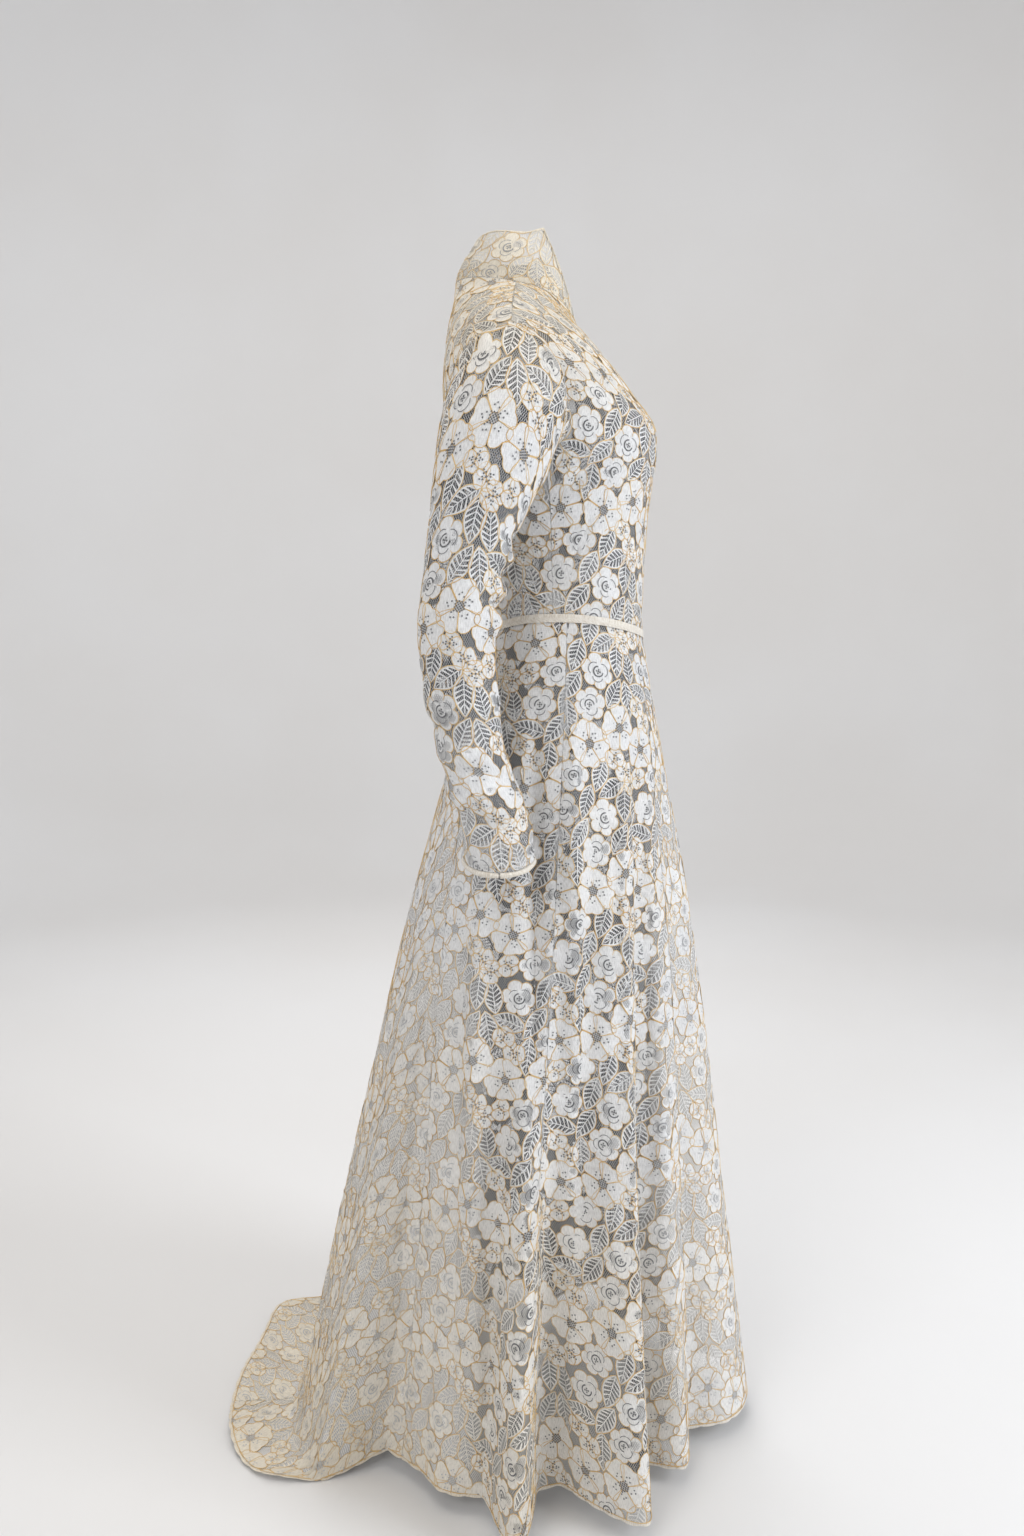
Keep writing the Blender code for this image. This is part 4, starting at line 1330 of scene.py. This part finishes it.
def threads_group(name):
    """Close threads that run down the cloth, with finer ones across: their shade and their relief."""
    inputs = {"Place": "Vector", "Spacing": "Float"}
    tree, given, out = new_group(name, inputs, {"Shade": "Float", "Relief": "Float"})
    wander = noise(tree, given["Place"], 160.0, 2.0)
    offset = times(tree, math_node(tree, "SUBTRACT", wander, 0.5), THREAD_WANDER)
    place = axes_of(tree, given["Place"])
    lines = []
    for axis, wide in (("X", 1.0), ("Y", TIE_SPACING)):
        spacing = times(tree, given["Spacing"], wide)
        line = math_node(tree, "DIVIDE", plus(tree, place[axis], offset), spacing)
        lines.append(math_node(tree, "PINGPONG", line, 0.5))
    weave = plus(tree, times(tree, lines[0], 1.5), times(tree, lines[1], 0.5))
    feed(tree, out["Relief"], weave)
    stretched = add_node(tree, "ShaderNodeMapping", {"Vector": given["Place"], "Scale": STREAKS}).outputs[0]
    streaks = range_node(tree, noise(tree, stretched, 1.0, 2.0), 0.36, 0.68)
    shade = plus(tree, times(tree, streaks, 0.6), times(tree, weave, -0.25))
    feed(tree, out["Shade"], plus(tree, shade, 0.22))
    return tree


def start_material(name):
    """A material, its nodes, and where the flat cloth and the frame place each point."""
    material = bpy.data.materials.new(name)
    material.use_nodes = True
    tree = material.node_tree
    flat = add_node(tree, "ShaderNodeUVMap", uv_map="flat_cloth").outputs[0]
    position = add_node(tree, "ShaderNodeTexCoord").outputs["Object"]
    return material, tree, flat, position


def complete(material, colour, relief, finish, **others):
    """Feeds a material's shader with its colour, its relief and its finish."""
    tree = material.node_tree
    raised = {"Height": relief, "Distance": finish.depth, "Strength": finish.strength}
    inputs = {
        "Base Color": colour,
        "Normal": add_node(tree, "ShaderNodeBump", raised).outputs["Normal"],
        "Roughness": finish.roughness,
        "Sheen Weight": finish.sheen,
        "Specular IOR Level": SPECULAR,
        **others,
    }
    for socket, value in inputs.items():
        feed(tree, tree.nodes["Principled BSDF"].inputs[socket], value)
    return material


def tone_of(tree, position, ivory, cream, cream_share=0.0):
    """The shade of ivory at each place, and the share of painted shade there."""
    inputs = {"Position": position, "Ivory": ivory, "Cream": cream, "Cream Share": cream_share}
    return group_node(tree, "ivory_tone", ageing_and_painted_shade, inputs)


def painted_inside_shade(tree, colour, painted_shade, painted_shade_colour):
    """The cloth's colour with painted shade: darkened towards a near-black where its inner face is seen
    through the near side's net, a little everywhere and most where the painted-shade share is high.
    """
    inside = add_node(tree, "ShaderNodeNewGeometry").outputs["Backfacing"]
    through = add_node(tree, "ShaderNodeLightPath").outputs["Transparent Depth"]
    seen = times(tree, inside, math_node(tree, "MINIMUM", through, 1.0))
    share = range_node(tree, painted_shade, 0.0, 1.0, 0.12, 1.0, smooth=False)
    return mix_colour(tree, times(tree, seen, share), colour, painted_shade_colour)


def net_material(name, sizes, colours, cream_share):
    """Net ground, see-through between its threads: grey as painted shade within the painted-shade zone, paler
    and fuller outside it, and darker still on its inner face as painted shade.
    """
    material, tree, flat, position = start_material(name)
    inputs = {"Place": flat, "Cell": sizes.net_cell, "Thread": sizes.net_thread}
    net = group_node(tree, "bobbin_net", net_group, inputs)
    tone = tone_of(tree, position, colours.net, colours.net_cream, cream_share)
    painted_shade_net = mix_colour(tree, tone["Painted Shade"], colours.net_unshaded, tone["Colour"])
    shown = painted_inside_shade(tree, painted_shade_net, tone["Painted Shade"], colours.painted_inside_shade)
    fullness = range_node(tree, tone["Painted Shade"], 0.0, 1.0, PALE_NET_FULLNESS, 0.0, smooth=False)
    alpha = math_node(tree, "MAXIMUM", net["Threads"], fullness)
    return complete(material, shown, net["Relief"], NET_FINISH, Alpha=alpha)


def clothwork_material(name, sizes, colours, cream_share):
    """Petals and leaves of close threads, no two quite of one shade."""
    material, tree, flat, position = start_material(name)
    inputs = {"Place": flat, "Spacing": sizes.thread_spacing}
    threads = group_node(tree, "close_threads", threads_group, inputs)
    tone = tone_of(tree, position, colours.clothwork, colours.clothwork_cream, cream_share)
    own = add_node(tree, "ShaderNodeAttribute", attribute_name="tone").outputs["Fac"]
    shade = plus(tree, times(tree, threads["Shade"], 0.85), times(tree, own, 0.25))
    darker = mix_colour(tree, 1.0, tone["Colour"], CLOTHWORK_SHADE, "MULTIPLY")
    worn = mix_colour(tree, shade, tone["Colour"], darker)
    # Painted shade on the inner face where it is seen through the net
    shown = painted_inside_shade(tree, worn, tone["Painted Shade"], colours.painted_inside_shade)
    return complete(material, shown, threads["Relief"], CLOTHWORK_FINISH)


def outline_material(name, sizes, colours):
    """Outline thread, with the odd glint of metal in its twist."""
    material, tree, flat, position = start_material(name)
    grain = noise(tree, flat, 900.0, 1.0)
    patches = range_node(tree, noise(tree, position, 26.0, 2.0), 0.36, 0.66)
    colour = mix_colour(tree, patches, colours.outline, colours.outline_pale)
    shown = mix_colour(tree, range_node(tree, grain, 0.42, 0.62, 0.0, 0.5), colour, colours.outline_glint)
    metallic = range_node(tree, grain, 0.55, 0.68, 0.0, 0.6)
    roughness = range_node(tree, grain, 0.50, 0.68, 0.62, 0.32)
    return complete(material, shown, grain, OUTLINE_FINISH, Metallic=metallic, Roughness=roughness)


def openwork_material(name, sizes, colours):
    """Small eyes of openwork in the petals, too fine to cut, drawn as painted shade: the net's grey,
    darkening to near-black where the painted-shade share is high, with pale thread crossings.
    """
    material, tree, flat, position = start_material(name)
    place = axes_of(tree, flat)
    spacing = sizes.thread_spacing * OPENWORK_SPACING
    lines = [math_node(tree, "DIVIDE", place[axis], spacing) for axis in "XY"]
    lines = [math_node(tree, "PINGPONG", line, 0.5) for line in lines]
    crossing = range_node(tree, math_node(tree, "MINIMUM", *lines), 0.16, 0.06)
    tone = tone_of(tree, position, colours.painted_inside_shade, colours.painted_inside_shade)
    eye = mix_colour(tree, tone["Painted Shade"], colours.net, colours.painted_inside_shade)
    shown = mix_colour(tree, times(tree, crossing, 0.35), eye, colours.clothwork)
    return complete(material, shown, crossing, OPENWORK_FINISH)


def woven_material(name, sizes, colours):
    """Plain cream cloth of the bands and bindings, with fine ribs."""
    material, tree, flat, position = start_material(name)
    inputs = {"Place": flat, "Spacing": sizes.thread_spacing * RIB_SPACING}
    threads = group_node(tree, "close_threads", threads_group, inputs)
    cream_share, finish = WOVEN[name]
    tone = tone_of(tree, position, colours.clothwork, colours.clothwork_cream, cream_share)
    darker = mix_colour(tree, 1.0, tone["Colour"], WOVEN_SHADE, "MULTIPLY")
    shown = mix_colour(tree, threads["Shade"], tone["Colour"], darker)
    return complete(material, shown, threads["Relief"], finish)


def paper_material(name, colours):
    """Pale paper of the floor and sweep."""
    material, tree, _, position = start_material(name)
    clouds = range_node(tree, noise(tree, position, 0.6, 3.0), 0.3, 0.7)
    shown = mix_colour(tree, clouds, colours.floor, colours.floor_shade)
    return complete(material, shown, noise(tree, position, 420.0, 2.0), PAPER_FINISH)


def shared_material(name, make, *values):
    """A material that several pieces wear, made when it is first wanted."""
    return bpy.data.materials.get(name) or make(name, *values)


def lace_materials(settings, part):
    """Net, clothwork, outline thread and openwork eyes of painted shade for one part of the gown."""
    cream_share = LACES[part].cream_share
    return (
        shared_material(f"{part}_lace_net", net_material, *settings, cream_share),
        shared_material(f"{part}_lace_clothwork", clothwork_material, *settings, cream_share),
        shared_material("gold_outline_thread", outline_material, *settings),
        shared_material("openwork_painted_shade", openwork_material, *settings),
    )


# Settings, operators and panel


def length_of(name, description, default, precision=5):
    """A setting that is a length."""
    return bpy.props.FloatProperty(
        name=name, description=description, default=default, unit="LENGTH", precision=precision
    )


def share_of(name, description, default, low, high):
    """A setting that is a share or a scale."""
    return bpy.props.FloatProperty(name=name, description=description, default=default, min=low, max=high)


def colour_of(name, description, default):
    """A setting that is a colour."""
    return bpy.props.FloatVectorProperty(
        name=name, description=description, default=default, subtype="COLOR", min=0.0, max=1.0
    )


class GownSizes(bpy.types.PropertyGroup):
    """Sizes of the lace and its trims"""

    repeat_scale: share_of("Repeat Scale", "Size of the lace's repeat, 1 for 138 by 174 mm", 1.0, 0.5, 2.0)
    outline_width: length_of("Outline Thread", "Width of the thread round each petal", 0.00105)
    net_cell: length_of("Net Cell", "Distance between the net's threads", 0.0026)
    net_thread: share_of("Net Thread", "Half a thread's width as a share of the cell", 0.10, 0.02, 0.45)
    thread_spacing: length_of("Clothwork Threads", "Distance between the clothwork's threads", 0.0011)
    seam_width: length_of("Seam Allowance", "Half the width of the cloth turned in along a seam", 0.006, 4)
    edge_radius: length_of("Rolled Edge", "Radius of the rolled edge of the collar", 0.0011)


class GownColours(bpy.types.PropertyGroup):
    """Colours of the lace, its thread and the floor"""

    clothwork: colour_of("Clothwork", "Ivory of the petals", (0.85, 0.855, 0.86))
    clothwork_cream: colour_of("Clothwork, Warm", "Cream of petals that have yellowed", (0.86, 0.79, 0.66))
    # The net's grey is painted shade; the unshaded colour below is laid where no painted shade is
    net: colour_of("Net", "Colour of the net ground", (0.43, 0.435, 0.445))
    net_cream: colour_of("Net, Warm", "Colour of the net where it has yellowed", (0.58, 0.53, 0.44))
    net_unshaded: colour_of("Net, Pale", "Colour of the net where light comes through it", (0.80, 0.78, 0.75))
    # Painted shade: the near-black laid on the lace's inner face where it is seen through the net, and on the
    # openwork eyes
    painted_inside_shade: colour_of("Wrong Side", "Dusk of the wrong side and the openwork", (0.045, 0.046, 0.052))
    outline: colour_of("Outline Thread", "Gold thread round each petal", (0.53, 0.34, 0.14))
    outline_pale: colour_of("Outline Thread, Pale", "Tan of the thread where it is worn", (0.63, 0.47, 0.26))
    outline_glint: colour_of("Outline Glint", "Metal in the thread's twist", (0.85, 0.60, 0.28))
    floor: colour_of("Floor", "Paper of the floor and sweep", (0.80, 0.797, 0.795))
    floor_shade: colour_of("Floor Shade", "Softly darker patches of the paper", (0.77, 0.758, 0.745))


def settings_of(context):
    """The sizes and the colours that the sidebar shows."""
    return context.scene.lace_gown_sizes, context.scene.lace_gown_colours


def seam_strips(name, panel, width, material):
    """The cloth turned in along a panel's two sides, just inside it."""
    rows = thinned(len(panel.down), min(len(panel.down) - 1, 120))
    down = panel.down[rows]
    points, faces, flat, count = [], [], [], 0
    for edge, way in ((panel.across[rows, 0], 1.0), (panel.across[rows, -1], -1.0)):
        across = edge[:, None] + way * width * np.array([0.0, 0.5, 1.0])
        ragged = SEAM_RAGGED * np.sin(np.arange(len(rows)) * 1.9)[:, None] * np.array([0.0, 0.0, 1.0])
        if way < 0:
            across, ragged = across[:, ::-1], ragged[:, ::-1]
        places = flat_places(across, down[:, None])
        behind = np.full(across.size, -SEAM_BEHIND)
        placed = onto(panel, (across + ragged).ravel(), -places[:, 1], behind)[0]
        points.append(placed)
        faces.append(grid_faces(len(rows), 3) + count)
        flat.append(places)
        count += len(placed)
    return mesh_piece(name, np.concatenate(points), np.concatenate(faces), np.concatenate(flat), [material])


def dress_panel(part, node, panel, columns, shift, settings, extra=()):
    """The net sheet, the motifs and the turned-in seams of one panel, in place of its node."""
    lace = LACES[part]
    net, *threads = lace_materials(settings, part)
    sheet = net_sheet(f"{node}_lace_net", panel, lace.rows, columns, net)
    motifs = lace_motifs(f"{node}_lace_motifs", panel, shift, threads, settings[0])
    seams = seam_strips(f"{node}_lace_seams", panel, settings[0].seam_width * lace.seam, threads[0])
    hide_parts(node)
    for piece in (sheet, motifs, seams, *extra):
        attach(piece, "root")


def floor_and_sweep(context):
    """A round floor whose rim curves up all round into a wall, as one seamless sheet of paper."""
    bpy.ops.object.select_all(action="DESELECT")
    middle = (0.0, 0.0, -HOLD_HEIGHT - HEM_ABOVE_FLOOR)
    bpy.ops.mesh.primitive_circle_add(vertices=96, radius=FLOOR_RADIUS, fill_type="NGON", location=middle)
    sweep = context.object
    sweep.name = "studio_sweep"
    bpy.ops.object.mode_set(mode="EDIT")
    bpy.ops.mesh.select_all(action="SELECT")
    bpy.ops.mesh.inset(thickness=FLOOR_INSET)
    bpy.ops.mesh.select_all(action="DESELECT")
    bpy.ops.object.mode_set(mode="OBJECT")
    for edge in sweep.data.edges:
        ends = [sweep.data.vertices[k].co for k in edge.vertices]
        edge.select = all(end.xy.length > FLOOR_RADIUS - 0.1 for end in ends)
    bpy.ops.object.mode_set(mode="EDIT")
    context.tool_settings.mesh_select_mode = (False, True, False)
    radius, height = FLOOR_RADIUS, 0.0
    for turn in np.linspace(0.0, pi / 2, SWEEP_STEPS + 1)[1:]:
        wider, higher = FLOOR_RADIUS + SWEEP_BEND * np.sin(turn), SWEEP_BEND * (1.0 - np.cos(turn))
        rise = (0.0, 0.0, higher - height)
        bpy.ops.mesh.extrude_region_move(TRANSFORM_OT_translate={"value": rise})
        bpy.ops.transform.resize(value=(wider / radius, wider / radius, 1.0), center_override=(0.0, 0.0, 0.0))
        radius, height = wider, higher
    bpy.ops.mesh.extrude_region_move(TRANSFORM_OT_translate={"value": (0.0, 0.0, WALL_HEIGHT)})
    bpy.ops.mesh.select_all(action="SELECT")
    bpy.ops.mesh.normals_make_consistent(inside=False)
    bpy.ops.object.mode_set(mode="OBJECT")
    if sweep.data.polygons[0].normal.z < 0:
        sweep.data.flip_normals()
    sweep.data.transform(sweep.matrix_world)
    sweep.matrix_world.identity()
    bpy.ops.object.shade_smooth()
    layer = sweep.data.uv_layers.active or sweep.data.uv_layers.new(name="flat_cloth")
    layer.name = "flat_cloth"
    sweep.data.materials.append(shared_material("pale_paper", paper_material, settings_of(context)[1]))


def stand(context, name, data, place, turn):
    """A light or a camera at its place."""
    made = bpy.data.objects.new(name, data)
    context.scene.collection.objects.link(made)
    made.location, made.rotation_euler = place, turn
    return made


class GOWN_OT_bodice(bpy.types.Operator):
    """Dress the bodice's front and its two backs in lace"""

    bl_idname = "lace_gown.bodice"
    bl_label = "Bodice"

    def execute(self, context):
        settings = settings_of(context)
        front = bodice_half(0.0, 100)
        back = bodice_half(180.0, 80)
        backs = ["bodice_back_right", "bodice_back_left"]
        whole = joined(mirrored(front), front)
        dress_panel("bodice", "bodice_front", whole, 64, (-18.0, 34.0), settings)
        for node, panel in zip(backs, (back, mirrored(back))):
            dress_panel("bodice", node, panel, 28, (22.0, 60.0), settings)
        return {"FINISHED"}


class GOWN_OT_collar(bpy.types.Operator):
    """Dress the two halves of the standing collar"""

    bl_idname = "lace_gown.collar"
    bl_label = "Collar"

    def execute(self, context):
        settings = settings_of(context)
        right = collar_half(110)
        cloth = shared_material("cream_band", woven_material, *settings)
        route = np.concatenate([right.points[::-1, 0], right.points[0, 1:]])
        for side, panel, path in (("right", right, route), ("left", mirrored(right), route * FLIP)):
            edge = tube_along(f"collar_{side}_edge", path, settings[0].edge_radius, 8, False, cloth, 300.0)
            dress_panel("collar", f"collar_{side}", panel, 44, (30.0, -12.0), settings, (edge,))
        return {"FINISHED"}


class GOWN_OT_sleeves(bpy.types.Operator):
    """Dress the two long sleeves, with the wrinkles of the elbow and forearm"""

    bl_idname = "lace_gown.sleeves"
    bl_label = "Sleeves"

    def execute(self, context):
        settings = settings_of(context)
        right = sleeve_panel(180)
        for side, panel, shift in (("right", right, (12.0, 20.0)), ("left", mirrored(right), (-40.0, 70.0))):
            dress_panel("sleeve", f"sleeve_{side}", panel, 64, shift, settings)
        return {"FINISHED"}


class GOWN_OT_skirt(bpy.types.Operator):
    """Dress the seven gores of the fluted skirt and its train"""

    bl_idname = "lace_gown.skirt"
    bl_label = "Skirt"

    def execute(self, context):
        settings = settings_of(context)
        cloth = shared_material("hem_edging", woven_material, *settings)
        thread = lace_materials(settings, "skirt")[2]
        for number, gore in enumerate(GORES):
            node = f"skirt_{gore.name}"
            panel = gore_panel(gore, 240)
            hem = panel.points[-1]
            below = hem - panel.points[-2]
            below /= np.linalg.norm(below, axis=1, keepdims=True)
            lies = hem[:, 2] < HEM_LIFT - HEM_ABOVE_FLOOR - HOLD_HEIGHT
            below[lies, 2] = np.maximum(below[lies, 2], 0.0)
            edging = hem_edging(f"{node}_edging", hem, below, panel.outward[-1], cloth)
            route = hem - below * PIPING_ABOVE_HEM + panel.outward[-1] * PIPING_LIFT
            route[:, 2] = np.maximum(route[:, 2], hem[:, 2] + PIPING_CLEARANCE)
            piping = tube_along(f"{node}_piping", route, PIPING_RADIUS, 4, False, thread)
            columns = max(30, int(float(np.ptp(panel.across[-1])) / NET_COLUMN))
            shift = (17.0 + 41.0 * number, 26.0 + 53.0 * (number % 3))
            dress_panel("skirt", node, panel, columns, shift, settings, (edging, piping))
        return {"FINISHED"}


class GOWN_OT_waist_band(bpy.types.Operator):
    """Lay the narrow band over the waist seam"""

    bl_idname = "lace_gown.waist_band"
    bl_label = "Waist Band"

    def execute(self, context):
        angle = 180.0 + np.linspace(BAND_OPENING, 360.0 - BAND_OPENING, 361)
        turn = np.radians(angle)
        away = np.stack([-np.sin(turn), -np.cos(turn), 0.0 * turn], axis=-1)
        rows = []
        for share in np.linspace(-1.0, 1.0, 9):
            if share < 0:
                row = bodice_surface(angle, waist_height(angle) - share * BAND_HALF_WIDTH)
            else:
                row = skirt_surface(angle, share * BAND_HALF_WIDTH / WAIST_HEIGHT)
            lift = BAND_LIFT + BAND_SWELL * np.cos(pi * share / 2)
            lift = lift + BAND_UNEVEN * np.sin(angle * 1.7) * share
            rows.append(row + away * lift[:, None])
        points = np.array(rows)
        across, down = lay_flat(points, 0)
        cloth = shared_material("cream_band", woven_material, *settings_of(context))
        faces, places = grid_faces(*across.shape), flat_places(across, down[:, None])
        band = mesh_piece("waist_band_cloth", points.reshape(-1, 3), faces, places, [cloth])
        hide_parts("waist_band")
        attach(band, "root")
        return {"FINISHED"}


class GOWN_OT_cuff_bindings(bpy.types.Operator):
    """Roll a binding round each cuff"""

    bl_idname = "lace_gown.cuff_bindings"
    bl_label = "Cuff Bindings"

    def execute(self, context):
        cloth = shared_material("cream_binding", woven_material, *settings_of(context))
        route = sleeve_rings(np.linspace(0.0, 360.0, 120, endpoint=False))[-1]
        route[:, 2] -= CUFF_BINDING_RADIUS + SET_IN_GAP
        middle = route.mean(axis=0)
        away = route - middle
        route = middle + away * (1.0 - BINDING_INSET / np.linalg.norm(away, axis=1, keepdims=True))
        for side, path in (("right", route), ("left", route * FLIP)):
            name = f"cuff_binding_{side}"
            piece = tube_along(f"{name}_roll", path, CUFF_BINDING_RADIUS, 12, True, cloth, 90.0)
            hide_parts(name)
            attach(piece, "root")
        return {"FINISHED"}


class GOWN_OT_stage(bpy.types.Operator):
    """Set the plain floor and sweep, the soft lights and the camera"""

    bl_idname = "lace_gown.stage"
    bl_label = "Stage"

    def execute(self, context):
        floor_and_sweep(context)
        air = context.scene.world or bpy.data.worlds.new("studio_air")
        context.scene.world = air
        air.use_nodes = True
        background = air.node_tree.nodes["Background"].inputs
        background["Color"].default_value = AIR_COLOUR
        background["Strength"].default_value = AIR_STRENGTH
        for lamp in LAMPS:
            light = bpy.data.lights.new(lamp.name, "AREA")
            light.shape = "RECTANGLE"
            light.size, light.size_y = lamp.width, lamp.height
            light.energy, light.color = lamp.watts, lamp.colour
            turn = Vector(np.subtract(lamp.aim, lamp.place).tolist()).to_track_quat("-Z", "Y").to_euler()
            stand(context, lamp.name, light, lamp.place, turn)
        data = bpy.data.cameras.new("studio_camera")
        data.sensor_width, data.lens = SENSOR_WIDTH, LENS
        data.clip_start, data.clip_end = 0.05, 60.0
        camera = stand(context, "studio_camera", data, CAMERA_PLACE, (pi / 2 - CAMERA_TILT, 0.0, -pi / 2))
        context.scene.camera = camera
        context.scene.view_settings.view_transform = "Standard"
        return {"FINISHED"}


PIECE_OPERATORS = (
    GOWN_OT_bodice,
    GOWN_OT_collar,
    GOWN_OT_sleeves,
    GOWN_OT_skirt,
    GOWN_OT_waist_band,
    GOWN_OT_cuff_bindings,
    GOWN_OT_stage,
)


class GOWN_PT_sidebar(bpy.types.Panel):
    """Sizes, colours and pieces of the lace gown"""

    bl_idname = "GOWN_PT_sidebar"
    bl_label = "Lace Gown"
    bl_space_type = "VIEW_3D"
    bl_region_type = "UI"
    bl_category = "Lace Gown"

    def draw(self, context):
        layout = self.layout
        for group in settings_of(context):
            box = layout.box()
            for name in group.bl_rna.properties.keys():
                if name not in ("rna_type", "name"):
                    box.prop(group, name)
        for operator in PIECE_OPERATORS:
            layout.operator(operator.bl_idname)


CLASSES = (GownSizes, GownColours, *PIECE_OPERATORS, GOWN_PT_sidebar)


def register():
    """Make the settings, operators and panel known."""
    for cls in CLASSES:
        bpy.utils.register_class(cls)
    bpy.types.Scene.lace_gown_sizes = bpy.props.PointerProperty(type=GownSizes)
    bpy.types.Scene.lace_gown_colours = bpy.props.PointerProperty(type=GownColours)


def unregister():
    """Take them away again."""
    del bpy.types.Scene.lace_gown_colours
    del bpy.types.Scene.lace_gown_sizes
    for cls in reversed(CLASSES):
        bpy.utils.unregister_class(cls)


def main():
    """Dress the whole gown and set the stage."""
    register()
    bpy.ops.lace_gown.bodice()
    bpy.ops.lace_gown.collar()
    bpy.ops.lace_gown.sleeves()
    bpy.ops.lace_gown.skirt()
    bpy.ops.lace_gown.waist_band()
    bpy.ops.lace_gown.cuff_bindings()
    bpy.ops.lace_gown.stage()


if __name__ == "__main__":
    main()
